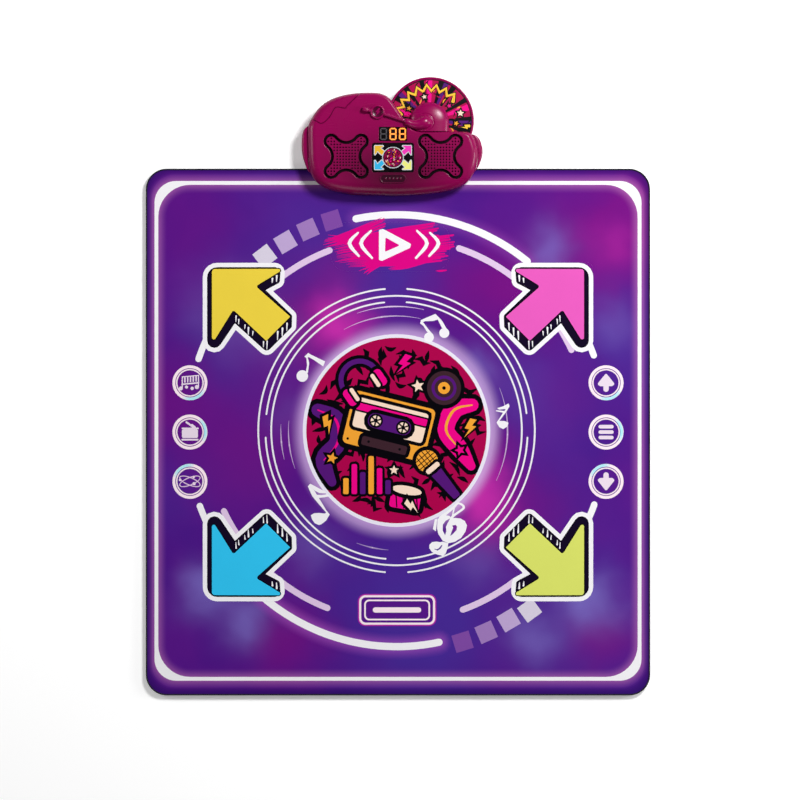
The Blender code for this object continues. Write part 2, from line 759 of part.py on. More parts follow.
# Front shell: a moulded hood with a broad rounding, cut for the grilles, window and lamp panel
front_rings = [console_ring(0, PARTING + SEAT)]
for angle in ROUND_TURNS:
    rise = (FRONT_TOP - SIDE_TOP) * math.sin(math.radians(angle))
    front_rings.append(console_ring(angle, SIDE_TOP + rise))
front_shell = loft("console_front_shell", front_rings, MAROON, CONSOLE_AT, bottom=False)
skin = front_shell.modifiers.new("wall", "SOLIDIFY")
skin.thickness = WALL
skin.offset = -1.0
skin.use_even_offset = True

SPEAKERS = (("left", SPEAKER_SHIFT - SPEAKER_REACH), ("right", SPEAKER_SHIFT + SPEAKER_REACH))
for side, x in SPEAKERS:
    at = (CONSOLE_X + x, CONSOLE_Y + SPEAKER_Y, 0.0)
    rim = plate(f"{side}_cross_rim", [cross_loop(-GROOVE_RIM), cross_loop(WALL / 2)],
                FRONT_TOP - GROOVE_DEPTH + SEAT, FRONT_TOP - WALL / 2, None, at)
    opening = plate(f"{side}_cross_opening", [cross_loop(0.0)], SIDE_TOP, FRONT_TOP + PASS, None, at)
    combine(front_shell, "UNION", rim)
    combine(front_shell, "DIFFERENCE", opening)

window_loop = rounded_rectangle(WINDOW_WIDTH, WINDOW_LENGTH, WINDOW_CORNER, 1)
panel_loop = rounded_rectangle(PANEL_WIDTH, PANEL_LENGTH, PANEL_CORNER, 2)
for name, loop, y in (("window", window_loop, WINDOW_Y), ("panel", panel_loop, PANEL_Y)):
    opening = plate(f"{name}_opening", [grown(loop, SEAT)], SIDE_TOP, FRONT_TOP + PASS, None,
                    (CONSOLE_X, CONSOLE_Y + y, 0.0))
    combine(front_shell, "DIFFERENCE", opening)

# Step line: a shallow groove across the hood's flat
line_loop = []
for side in (1, -1):
    path = [Vector(p) for p in STEP_LINE_POINTS]
    row = []
    for i, here in enumerate(path):
        along = (path[min(i + 1, len(path) - 1)] - path[max(i - 1, 0)]).normalized()
        row.append(tuple(here + Vector((-along.y, along.x)) * side * STEP_LINE_WIDTH / 2))
    line_loop += row if side == 1 else row[::-1]
step_cut = plate("step_line_cut", [line_loop], FRONT_TOP - STEP_LINE_DEPTH, FRONT_TOP + PASS, None,
                 CONSOLE_AT)
combine(front_shell, "DIFFERENCE", step_cut)

# Posts under the front shell take the case screws
post_top = FRONT_TOP - WALL / 2
for i, (x, y) in enumerate(CASE_SCREWS):
    post = rod(f"front_post_{i}", SCREW_BOSS_RADIUS, (x, y, PARTING + SEAT), (x, y, post_top), None,
               CONSOLE_AT, BOSS_STEPS)
    bore = rod(f"front_bore_{i}", SCREW_RADIUS + SLIDE_CLEARANCE, (x, y, PARTING - PASS),
               (x, y, SIDE_TOP), None, CONSOLE_AT, BORE_STEPS)
    combine(front_shell, "UNION", post)
    combine(front_shell, "DIFFERENCE", bore)

# Rear shell: a tray with a lobe under the record and a shelf that lies on the mat
rear_rings = [
    with_height(grown(console_loop, -BOTTOM_ROUND), CONSOLE_BOTTOM),
    with_height(grown(console_loop, -BOTTOM_ROUND * 0.3), CONSOLE_BOTTOM + BOTTOM_ROUND * 0.3),
    with_height(console_loop, CONSOLE_BOTTOM + BOTTOM_ROUND),
    with_height(console_loop, PARTING),
]
rear_shell = loft("console_rear_shell", rear_rings, MAROON, CONSOLE_AT)
lobe_radius = DISC_RADIUS - LOBE_INSET
lobe_rings = [
    with_height(ring(lobe_radius - BOTTOM_ROUND, LOBE_STEPS, DISC_X, DISC_Y), CONSOLE_BOTTOM + OFFSET),
    with_height(ring(lobe_radius, LOBE_STEPS, DISC_X, DISC_Y), CONSOLE_BOTTOM + BOTTOM_ROUND),
    with_height(ring(lobe_radius, LOBE_STEPS, DISC_X, DISC_Y), PARTING - OFFSET),
]
combine(rear_shell, "UNION", loft("record_lobe", lobe_rings, None, CONSOLE_AT))
console_hollow = plate("console_hollow", [grown(console_loop, -WALL)], FLOOR_TOP, PARTING + PASS,
                       None, CONSOLE_AT)
lobe_hollow = plate("lobe_hollow", [ring(lobe_radius - WALL, LOBE_STEPS, DISC_X, DISC_Y)],
                    FLOOR_TOP + OFFSET, PARTING + PASS + OFFSET, None, CONSOLE_AT)
shelf_keep = block("shelf_keep", (-MAT_WIDTH / 2, -MAT_LENGTH / 2, 0.0),
                   (MAT_WIDTH / 2, MAT_EDGE_GAP + WALL, SHELF_TOP), None, CONSOLE_AT)
mat_room = block("mat_room", (-MAT_WIDTH / 2, -MAT_LENGTH / 2, 0.0),
                 (MAT_WIDTH / 2, MAT_EDGE_GAP, SHELF_BOTTOM), None, CONSOLE_AT)
tail_slot = block("tail_slot", (-tail_half - SEAT, 0.0, tail_low - SEAT),
                  (tail_half + SEAT, MAT_EDGE_GAP + 2 * WALL, tail_high + SEAT), None, CONSOLE_AT)
combine(console_hollow, "UNION", lobe_hollow)
combine(console_hollow, "DIFFERENCE", shelf_keep)
combine(rear_shell, "DIFFERENCE", console_hollow, mat_room, tail_slot)

# Case screws, each in a boss of the rear shell
shank_low = FLOOR_TOP + SCREW_HEAD - SEAT
for i, (x, y) in enumerate(CASE_SCREWS):
    boss = rod(f"rear_boss_{i}", SCREW_BOSS_RADIUS, (x, y, FLOOR_TOP - WALL / 2), (x, y, PARTING),
               None, CONSOLE_AT, BOSS_STEPS)
    bore = rod(f"rear_bore_{i}", SCREW_RADIUS + SLIDE_CLEARANCE, (x, y, 0.0), (x, y, PARTING + PASS),
               None, CONSOLE_AT, BORE_STEPS)
    head_bore = rod(f"rear_head_bore_{i}", SCREW_HEAD_RADIUS + SLIDE_CLEARANCE, (x, y, 0.0),
                    (x, y, FLOOR_TOP + SCREW_HEAD), None, CONSOLE_AT, BOSS_STEPS)
    combine(rear_shell, "UNION", boss)
    combine(rear_shell, "DIFFERENCE", bore, head_bore)
    screw(f"case_screw_{i + 1}", x, y, shank_low - SCREW_HEAD, SIDE_TOP - SEAT)

# Cell bay: a box open to the floor, closed by a door with a tab for its screw
bay_length = CELL_LENGTH + 2 * CONTACT_ROOM
bay_width = CELL_PITCH * (CELL_COUNT - 1) + 2 * CELL_RADIUS + 2 * SEAT
cell_z = FLOOR_TOP + SEAT + CELL_RADIUS
bay_ceiling = cell_z + CELL_RADIUS + SEAT
bay_at = (CONSOLE_X + CELL_BAY_X, CONSOLE_Y + CELL_BAY_Y, 0.0)
bay_box = block(
    "bay_box",
    (-bay_length / 2 - BAY_WALL, -bay_width / 2 - BAY_WALL, CONSOLE_BOTTOM + OFFSET),
    (bay_length / 2 + BAY_WALL, bay_width / 2 + BAY_WALL, bay_ceiling + BAY_WALL),
    None,
    bay_at,
)
bay_room = block("bay_room", (-bay_length / 2, -bay_width / 2, 0.0),
                 (bay_length / 2, bay_width / 2, bay_ceiling), None, bay_at)
combine(rear_shell, "UNION", bay_box)
combine(rear_shell, "DIFFERENCE", bay_room)

door_x = bay_length / 2 + DOOR_LEDGE
door_y = bay_width / 2 + DOOR_LEDGE
door_loop = [
    (-door_x, -door_y),
    (door_x, -door_y),
    (door_x, -DOOR_TAB_WIDTH / 2),
    (door_x + DOOR_TAB_REACH, -DOOR_TAB_WIDTH / 2),
    (door_x + DOOR_TAB_REACH, DOOR_TAB_WIDTH / 2),
    (door_x, DOOR_TAB_WIDTH / 2),
    (door_x, door_y),
    (-door_x, door_y),
]
door_ceiling = CONSOLE_BOTTOM + DOOR_THICK - SEAT
door_room = plate("door_room", [door_loop], 0.0, door_ceiling, None, bay_at)
combine(rear_shell, "DIFFERENCE", door_room)
door = plate("battery_door", [grown(door_loop, -SLIDE_CLEARANCE)], CONSOLE_BOTTOM - SEAT,
             door_ceiling - SEAT, DARK_MAROON, bay_at)
door_screw_x = CELL_BAY_X + door_x + DOOR_TAB_REACH / 2
door_screw_top = FLOOR_TOP + DOOR_BOSS_HEIGHT - 2 * SEAT
door_boss = rod("door_boss", SCREW_BOSS_RADIUS, (door_screw_x, CELL_BAY_Y, door_ceiling + OFFSET),
                (door_screw_x, CELL_BAY_Y, FLOOR_TOP + DOOR_BOSS_HEIGHT + WALL), None, CONSOLE_AT,
                BOSS_STEPS)
door_bore = rod("door_bore", SCREW_RADIUS + SLIDE_CLEARANCE, (door_screw_x, CELL_BAY_Y, 0.0),
                (door_screw_x, CELL_BAY_Y, FLOOR_TOP + DOOR_BOSS_HEIGHT), None, CONSOLE_AT,
                BORE_STEPS)
door_hole = rod("door_hole", SCREW_RADIUS + SLIDE_CLEARANCE, (door_screw_x, CELL_BAY_Y, 0.0),
                (door_screw_x, CELL_BAY_Y, FLOOR_TOP), None, CONSOLE_AT, BORE_STEPS)
combine(rear_shell, "UNION", door_boss)
combine(rear_shell, "DIFFERENCE", door_bore)
combine(door, "DIFFERENCE", door_hole)
screw("battery_door_screw", door_screw_x, CELL_BAY_Y, FOOT_SINK, door_screw_top,
      CONSOLE_BOTTOM - 2 * SEAT - FOOT_SINK)

# Cells, laid in turn with their raised ends left and right, between two sprung contacts
for i in range(CELL_COUNT):
    y = (i - (CELL_COUNT - 1) / 2) * CELL_PITCH
    half = CELL_LENGTH / 2
    cell = turned(
        f"battery_cell_{i + 1}",
        [
            (0.0, half),
            (CELL_NUB_RADIUS, half),
            (CELL_NUB_RADIUS, half - CELL_NUB),
            (CELL_RADIUS - CELL_EDGE, half - CELL_NUB),
            (CELL_RADIUS, half - CELL_NUB - CELL_EDGE),
            (CELL_RADIUS, -half),
            (0.0, -half),
        ],
        CELL_SKIN,
        (bay_at[0], bay_at[1] + y, cell_z),
    )
    cell.rotation_euler = (0.0, math.pi / 2 if i % 2 == 0 else -math.pi / 2, 0.0)

for side, flip in (("left", -1), ("right", 1)):
    wall_side = flip * (bay_length / 2 - SEAT)
    cell_side = flip * (bay_length / 2 - SEAT - CONTACT_THICK)
    contact = block(
        f"battery_contact_{side}",
        (min(wall_side, cell_side), -bay_width / 2 + SEAT, FLOOR_TOP + SEAT),
        (max(wall_side, cell_side), bay_width / 2 - SEAT, bay_ceiling - SEAT),
        STEEL,
        bay_at,
    )
    for i in range(CELL_COUNT):
        y = (i - (CELL_COUNT - 1) / 2) * CELL_PITCH
        start = ((wall_side + cell_side) / 2, y, cell_z)
        end = (flip * (CELL_LENGTH / 2 + SEAT), y, cell_z)
        combine(contact, "UNION", rod(f"contact_spring_{side}_{i}", CONTACT_RADIUS, start, end, None,
                                      bay_at, BORE_STEPS))

# Power switch in the back wall: a knob that slides in a slot, and the switch body behind it
wall_y = max(y for x, y, _ in console_loop if abs(x - SWITCH_X) < SWITCH_BODY_WIDTH)
slot_half = SWITCH_KNOB / 2 + SWITCH_TRAVEL / 2 + SLIDE_CLEARANCE
slot_rise = SWITCH_KNOB_HEIGHT / 2 + SLIDE_CLEARANCE
switch_slot = block("switch_slot", (SWITCH_X - slot_half, wall_y - 2 * WALL, SWITCH_Z - slot_rise),
                    (SWITCH_X + slot_half, wall_y + PASS, SWITCH_Z + slot_rise), None, CONSOLE_AT)
combine(rear_shell, "DIFFERENCE", switch_slot)
block("power_switch_knob", (-SWITCH_KNOB / 2, -WALL - SEAT, -SWITCH_KNOB_HEIGHT / 2),
      (SWITCH_KNOB / 2, SWITCH_KNOB_PROUD, SWITCH_KNOB_HEIGHT / 2), SWITCH_BLACK,
      (CONSOLE_X + SWITCH_X - SWITCH_TRAVEL / 2, CONSOLE_Y + wall_y, SWITCH_Z))
switch_front = wall_y - WALL - 3 * SEAT
block("power_switch_body",
      (SWITCH_X - SWITCH_BODY_WIDTH / 2, switch_front - SWITCH_BODY_DEPTH, SWITCH_Z - SWITCH_BODY_HEIGHT / 2),
      (SWITCH_X + SWITCH_BODY_WIDTH / 2, switch_front, SWITCH_Z + SWITCH_BODY_HEIGHT / 2),
      STEEL, CONSOLE_AT)


def wall_x(y, facing):
    """Where the console's side wall stands at a place along it, on the left or the right."""
    near = sorted((abs(py - y), px) for px, py, _ in console_loop if px * facing > SPEAKER_REACH)
    (d1, x1), (d2, x2) = near[:2]
    return (x1 * d2 + x2 * d1) / (d1 + d2)


# Side caps: puffed pads that stand out of both sides of the console
for side, facing, points in (("left", -1, LEFT_CAP_POINTS), ("right", 1, RIGHT_CAP_POINTS)):
    bulge = smooth_path(points, 4, False)
    cap_rings = []
    for share, z in CAP_SHARES:
        front_row = []
        for y, out in bulge:
            front_row.append((wall_x(y, facing) + facing * (2 * SEAT + max(out, 0.0) * share), y))
        back_row = [(wall_x(y, facing) - facing * CAP_BACK, y) for y, out in bulge]
        row = front_row + back_row[::-1] if facing == 1 else back_row + front_row[::-1]
        cap_rings.append(with_height(row, z))
    cap = loft(f"{side}_side_cap", cap_rings, MAROON, CONSOLE_AT)
    combine(cap, "DIFFERENCE", outline_trim(f"{side}_cap_trim", SEAT, FRONT_TOP))
    if side == "right":
        record_trim = plate("record_trim", [ring(DISC_RADIUS + SEAT, LOBE_STEPS, DISC_X, DISC_Y)],
                            -PASS, FRONT_TOP, None, CONSOLE_AT)
        combine(cap, "DIFFERENCE", record_trim)

# Record: a shallow round cap on the lobe, and its printed label
disc_bottom = PARTING + SEAT
disc_at = (CONSOLE_X + DISC_X, CONSOLE_Y + DISC_Y, 0.0)
disc = turned(
    "record_disc",
    [
        (0.0, DISC_TOP),
        (DISC_RADIUS - DISC_RIM_WIDTH, DISC_TOP),
        (DISC_RADIUS - DISC_RIM_WIDTH, DISC_TOP + DISC_RIM_RISE),
        (DISC_RADIUS - EDGE_ROUND, DISC_TOP + DISC_RIM_RISE),
        (DISC_RADIUS, DISC_TOP + DISC_RIM_RISE - EDGE_ROUND),
        (DISC_RADIUS, disc_bottom),
        (DISC_RADIUS - DISC_WALL, disc_bottom),
        (DISC_RADIUS - DISC_WALL, DISC_TOP - DISC_WALL),
        (0.0, DISC_TOP - DISC_WALL),
    ],
    MAROON,
    disc_at,
    DISC_STEPS,
)
combine(disc, "DIFFERENCE", outline_trim("disc_trim", SEAT, FRONT_TOP))

label_low = DISC_TOP + SEAT
label_radius = DISC_RADIUS - DISC_RIM_WIDTH - SEAT
label = plate("record_label", [ring(label_radius, DISC_STEPS)], label_low, label_low + LABEL_THICK,
              DISC_PRINT, disc_at)
dome_loop = arc(DOME_X, DOME_Y, DOME_RADIUS, 0, 180, 14)
dome_loop.append((DOME_X - DOME_RADIUS, DOME_Y - DOME_STRAIGHT))
dome_loop.append((DOME_X + DOME_RADIUS, DOME_Y - DOME_STRAIGHT))
dome_shadow = plate("dome_shadow", [grown(dome_loop, SEAT)], -PASS, FRONT_TOP, None, CONSOLE_AT)
combine(label, "DIFFERENCE", outline_trim("label_trim", 2 * SEAT, FRONT_TOP), dome_shadow)

# Hub dome, with the arm's curled head moulded on it
dome_foot = DISC_TOP + DOME_FOOT
dome_rings = [with_height(dome_loop, DISC_TOP + SEAT)]
for angle in DOME_TURNS:
    share = math.cos(math.radians(angle))
    z = dome_foot + (DOME_TOP - dome_foot) * math.sin(math.radians(angle))
    drawn = []
    for x, y in dome_loop:
        drawn.append((DOME_X + (x - DOME_X) * share, DOME_Y + (y - DOME_Y) * (share if y > DOME_Y else 1)))
    dome_rings.append(with_height(drawn, z))
dome = loft("record_hub_dome", dome_rings, MAROON, CONSOLE_AT)
arm_z = FRONT_TOP + SEAT + ARM_RADIUS
head_rings = []
for i, (x, y, drop, radius) in enumerate(HEAD_POINTS):
    back = HEAD_POINTS[max(i - 1, 0)]
    ahead = HEAD_POINTS[min(i + 1, len(HEAD_POINTS) - 1)]
    along = Vector((ahead[0] - back[0], ahead[1] - back[1])).normalized()
    head_rings.append(
        [(x - along.y * a, y + along.x * a, arm_z - drop + b) for a, b in ring(radius, HEAD_STEPS)]
    )
combine(dome, "UNION", loft("curled_head", head_rings, None, CONSOLE_AT))
combine(dome, "DIFFERENCE", outline_trim("dome_trim", SEAT, FRONT_TOP + SEAT))

# Tonearm: pivot badge, counterweight and arm, all lying on the front shell
pivot_low = FRONT_TOP + SEAT
pivot_top = pivot_low + PIVOT_HEIGHT
tonearm = turned(
    "tonearm",
    [
        (0.0, pivot_top - PIVOT_SINK),
        (PIVOT_RADIUS - PIVOT_RIM, pivot_top - PIVOT_SINK),
        (PIVOT_RADIUS - PIVOT_RIM, pivot_top),
        (PIVOT_RADIUS - EDGE_ROUND, pivot_top),
        (PIVOT_RADIUS, pivot_top - EDGE_ROUND),
        (PIVOT_RADIUS, pivot_low),
        (0.0, pivot_low),
    ],
    MAROON,
    (CONSOLE_X + PIVOT_X, CONSOLE_Y + PIVOT_Y, 0.0),
    DISC_STEPS,
)
pivot_middle = Vector((PIVOT_X, PIVOT_Y, arm_z))
head_start = Vector((*HEAD_POINTS[0][:2], arm_z))
arm_end = head_start - (head_start - pivot_middle).normalized() * SEAT
weight_end = Vector((WEIGHT_X, WEIGHT_Y, arm_z))
for name, end, radius in (("arm_bar", arm_end, ARM_RADIUS), ("counterweight", weight_end, WEIGHT_RADIUS)):
    reach = (end - pivot_middle).normalized() * (PIVOT_RADIUS - PIVOT_RIM / 2)
    lift = Vector((0.0, 0.0, radius - ARM_RADIUS))
    bar = rod(name, radius, pivot_middle + reach + lift, end + lift, None, CONSOLE_AT, ARM_STEPS)
    combine(tonearm, "UNION", bar)

# Grilles: a perforated cross on a skirt, with a lip that seats under the shell
half = HOLE_SIZE / 2
hole_corners = [(-half, -half), (half, -half), (half, half), (-half, half)]
reach = math.ceil((CROSS_LOBE + CROSS_LOBE_RADIUS) / HOLE_PITCH)
margin = cross_loop(GROOVE_WIDTH + GRILLE_SKIRT + HOLE_SIZE * 0.75)
holes = []
for i in range(-reach, reach + 1):
    for j in range(-reach, reach + 1):
        x = i * HOLE_PITCH
        y = j * HOLE_PITCH
        if inside(x, y, margin):
            holes.append([(x + across, y + along) for across, along in hole_corners])
grille_top = FRONT_TOP - GRILLE_DROP
lip_top = FRONT_TOP - GROOVE_DEPTH
lip_bottom = lip_top - GRILLE_PLATE
island = cross_loop(GROOVE_WIDTH)
lip = cross_loop(-GRILLE_LIP)
hollow = cross_loop(GROOVE_WIDTH + GRILLE_SKIRT)
grille_rings = [
    with_height(island, grille_top),
    with_height(island, lip_top),
    with_height(lip, lip_top),
    with_height(lip, lip_bottom),
    with_height(hollow, lip_bottom),
    with_height(hollow, grille_top - GRILLE_PLATE),
]

# Speakers: a pressed basket with its magnet, and the cone in it
rim_top = lip_bottom - SEAT
magnet_low = rim_top - SPEAKER_DEPTH
basket_floor = magnet_low + MAGNET_HEIGHT + BASKET_SHEET
cone_low = basket_floor + SEAT
cone_top = rim_top - BASKET_SHEET
basket_profile = [
    (0.0, basket_floor),
    (MAGNET_RADIUS - BASKET_SHEET, basket_floor),
    (CONE_RADIUS + SEAT, rim_top - 2 * BASKET_SHEET),
    (CONE_RADIUS + SEAT, rim_top),
    (SPEAKER_RADIUS, rim_top),
    (SPEAKER_RADIUS, rim_top - BASKET_SHEET),
    (CONE_RADIUS + BASKET_SHEET + SEAT, rim_top - 2 * BASKET_SHEET),
    (MAGNET_RADIUS, magnet_low + MAGNET_HEIGHT),
    (MAGNET_RADIUS, magnet_low),
    (0.0, magnet_low),
]
cone_profile = [
    (0.0, cone_low + 2 * CONE_THICK + DUST_CAP_RISE),
    (DUST_CAP_RADIUS, cone_low + 2 * CONE_THICK),
    (CONE_RADIUS - CONE_SURROUND, cone_top),
    (CONE_RADIUS, cone_top),
    (CONE_RADIUS, cone_top - CONE_THICK),
    (CONE_RADIUS - CONE_SURROUND, cone_top - 2 * CONE_THICK),
    (DUST_CAP_RADIUS, cone_low),
    (0.0, cone_low),
]
for side, x in SPEAKERS:
    at = (CONSOLE_X + x, CONSOLE_Y + SPEAKER_Y, 0.0)
    perforated_hat(f"{side}_grille", grille_rings, holes, MAROON, at)
    turned(f"{side}_speaker_basket", basket_profile, MAGNET_GREY, at, SPEAKER_STEPS)
    turned(f"{side}_speaker_cone", cone_profile, CONE_BLACK, at, SPEAKER_STEPS)

# Display window and lamp panel, flush in the front shell, with what lights them below
lens_top = FRONT_TOP - LENS_SINK
lens_low = lens_top - LENS_THICK
module_low = lens_low - LAMP_BOARD_DROP
board_top = module_low - SEAT
plate("display_window", [window_loop], lens_low, lens_top, SMOKED, (CONSOLE_X, CONSOLE_Y + WINDOW_Y, 0.0))
plate("lamp_panel_lens", [panel_loop], lens_low, lens_top, SMOKED, (CONSOLE_X, CONSOLE_Y + PANEL_Y, 0.0))
module_x = WINDOW_WIDTH / 2 - MODULE_INSET
module_y = WINDOW_LENGTH / 2 - MODULE_INSET
block("display_module", (-module_x, WINDOW_Y - module_y, module_low),
      (module_x, WINDOW_Y + module_y, lens_low - SEAT), LAMP_WHITE, CONSOLE_AT)
board_x = PANEL_WIDTH / 2 + LAMP_BOARD_MARGIN
board_y = PANEL_LENGTH / 2 + 4 * SEAT
lamp_board = block("lamp_board", (-board_x, PANEL_Y - board_y, board_top - BOARD_THICK),
                   (board_x, PANEL_Y + board_y, board_top), BOARD_GREEN, CONSOLE_AT)
lamp_places = [(0.0, 0.0)]
lamp_places += [(sx * LAMP_REACH_X, sy * LAMP_REACH_Y) for sx in (-1, 1) for sy in (-1, 1)]
for i, (x, y) in enumerate(lamp_places):
    lamp = rod(f"lamp_{i}", LAMP_SIZE / 2, (x, PANEL_Y + y, board_top - BOARD_THICK / 2),
               (x, PANEL_Y + y, lens_low - SEAT), None, CONSOLE_AT, BORE_STEPS)
    combine(lamp_board, "UNION", lamp)
for i, sx in enumerate((-1, 1)):
    x = sx * (board_x - BOARD_POST_RADIUS)
    post = rod(f"board_post_{i}", BOARD_POST_RADIUS, (x, PANEL_Y, board_top + SEAT), (x, PANEL_Y, post_top),
               None, CONSOLE_AT, BORE_STEPS)
    combine(front_shell, "UNION", post)

# Main board on two posts of the rear shell
board_half_x = MAIN_BOARD_WIDTH / 2
board_half_y = MAIN_BOARD_LENGTH / 2
main_board = block("main_board", (-board_half_x, MAIN_BOARD_Y - board_half_y, MAIN_BOARD_Z),
                   (board_half_x, MAIN_BOARD_Y + board_half_y, MAIN_BOARD_Z + BOARD_THICK), BOARD_GREEN,
                   CONSOLE_AT)
chip_half = CHIP_SIZE / 2
sound_chip = block("sound_chip", (-chip_half, MAIN_BOARD_Y - chip_half, MAIN_BOARD_Z + BOARD_THICK / 2),
                   (chip_half, MAIN_BOARD_Y + chip_half, MAIN_BOARD_Z + BOARD_THICK + CHIP_HEIGHT),
                   None, CONSOLE_AT)
combine(main_board, "UNION", sound_chip)
for i, sx in enumerate((-1, 1)):
    x = sx * (board_half_x - 2 * MAIN_POST_RADIUS)
    y = MAIN_BOARD_Y + board_half_y / 3
    post = rod(f"main_post_{i}", MAIN_POST_RADIUS, (x, y, FLOOR_TOP - WALL / 2), (x, y, MAIN_BOARD_Z - SEAT),
               None, CONSOLE_AT, BOSS_STEPS)
    combine(rear_shell, "UNION", post)

# Badge: a bare raised oval under the lamp panel
badge_loop = rounded_rectangle(BADGE_WIDTH, BADGE_LENGTH, BADGE_LENGTH / 2 - OFFSET, 5)
badge_inner = grown(badge_loop, -BADGE_RIM)
badge_low = FRONT_TOP + SEAT
badge_rings = [
    with_height(badge_loop, badge_low),
    with_height(badge_loop, badge_low + BADGE_RISE),
    with_height(badge_inner, badge_low + BADGE_RISE),
    with_height(badge_inner, badge_low + BADGE_RISE / 2),
]
loft("front_badge", badge_rings, MAROON, (CONSOLE_X, CONSOLE_Y + BADGE_Y, 0.0))

# Clamp screws, up through the clamp plate into bosses of the rear shell
clamp_head_top = CLAMP_THICK / 2 - SEAT
for i, sx in enumerate((-1, 1)):
    x = sx * CLAMP_SCREW_REACH
    y = CLAMP_OUTSIDE / 2
    boss = rod(f"clamp_boss_{i}", SCREW_BOSS_RADIUS, (x, y, FLOOR_TOP - WALL / 2),
               (x, y, FLOOR_TOP + CLAMP_BOSS_HEIGHT), None, CONSOLE_AT, BOSS_STEPS)
    bore = rod(f"clamp_bore_{i}", SCREW_RADIUS + SLIDE_CLEARANCE, (x, y, 0.0),
               (x, y, FLOOR_TOP + CLAMP_BOSS_HEIGHT - BOSS_TIP), None, CONSOLE_AT, BORE_STEPS)
    head_bore = rod(f"clamp_head_bore_{i}", SCREW_HEAD_RADIUS + SLIDE_CLEARANCE, (x, y, -PASS),
                    (x, y, CLAMP_THICK / 2), None, CONSOLE_AT, BOSS_STEPS)
    shank_bore = rod(f"clamp_shank_bore_{i}", SCREW_RADIUS + SLIDE_CLEARANCE, (x, y, -PASS),
                     (x, y, CLAMP_THICK + PASS), None, CONSOLE_AT, BORE_STEPS)
    combine(rear_shell, "UNION", boss)
    combine(rear_shell, "DIFFERENCE", bore)
    combine(clamp, "DIFFERENCE", head_bore, shank_bore)
    screw(f"clamp_screw_{i + 1}", x, y, FOOT_SINK, FLOOR_TOP + CLAMP_BOSS_HEIGHT - 2 * BOSS_TIP,
          clamp_head_top - FOOT_SINK)

# Rubber feet under the console's two back corners
for side, x, y in FOOT_PLACES:
    recess = rod(f"{side}_foot_recess", FOOT_RADIUS + SLIDE_CLEARANCE, (x, y, 0.0),
                 (x, y, FOOT_THICK + SEAT), None, CONSOLE_AT, SPEAKER_STEPS)
    combine(rear_shell, "DIFFERENCE", recess)
    turned(
        f"{side}_rubber_foot",
        [
            (0.0, FOOT_THICK),
            (FOOT_RADIUS, FOOT_THICK),
            (FOOT_RADIUS, EDGE_ROUND),
            (FOOT_RADIUS - EDGE_ROUND, 0.0),
            (0.0, 0.0),
        ],
        RUBBER,
        (CONSOLE_X + x, CONSOLE_Y + y, 0.0),
        SPEAKER_STEPS,
    )
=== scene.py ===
import math
import random

import bmesh
import bpy
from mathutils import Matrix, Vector
from mathutils.geometry import delaunay_2d_cdt


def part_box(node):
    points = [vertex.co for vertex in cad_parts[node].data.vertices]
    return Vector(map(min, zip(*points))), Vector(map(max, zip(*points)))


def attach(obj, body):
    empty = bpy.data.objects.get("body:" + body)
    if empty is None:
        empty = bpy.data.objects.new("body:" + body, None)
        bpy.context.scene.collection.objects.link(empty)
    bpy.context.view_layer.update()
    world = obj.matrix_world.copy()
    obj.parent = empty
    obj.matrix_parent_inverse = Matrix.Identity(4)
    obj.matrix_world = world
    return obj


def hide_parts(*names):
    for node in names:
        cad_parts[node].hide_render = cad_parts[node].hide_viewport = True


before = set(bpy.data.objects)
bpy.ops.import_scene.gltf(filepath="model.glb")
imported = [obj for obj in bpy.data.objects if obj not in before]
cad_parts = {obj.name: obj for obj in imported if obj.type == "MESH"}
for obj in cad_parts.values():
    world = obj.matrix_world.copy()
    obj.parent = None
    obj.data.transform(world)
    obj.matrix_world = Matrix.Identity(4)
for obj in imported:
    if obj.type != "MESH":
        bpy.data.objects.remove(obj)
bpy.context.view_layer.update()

# Base cloth
# A plain black woven cloth under the mat, cut away where the clamp plate grips. It is sewn
# into the edge binding with the layers above it. The shared cloth helpers start here.


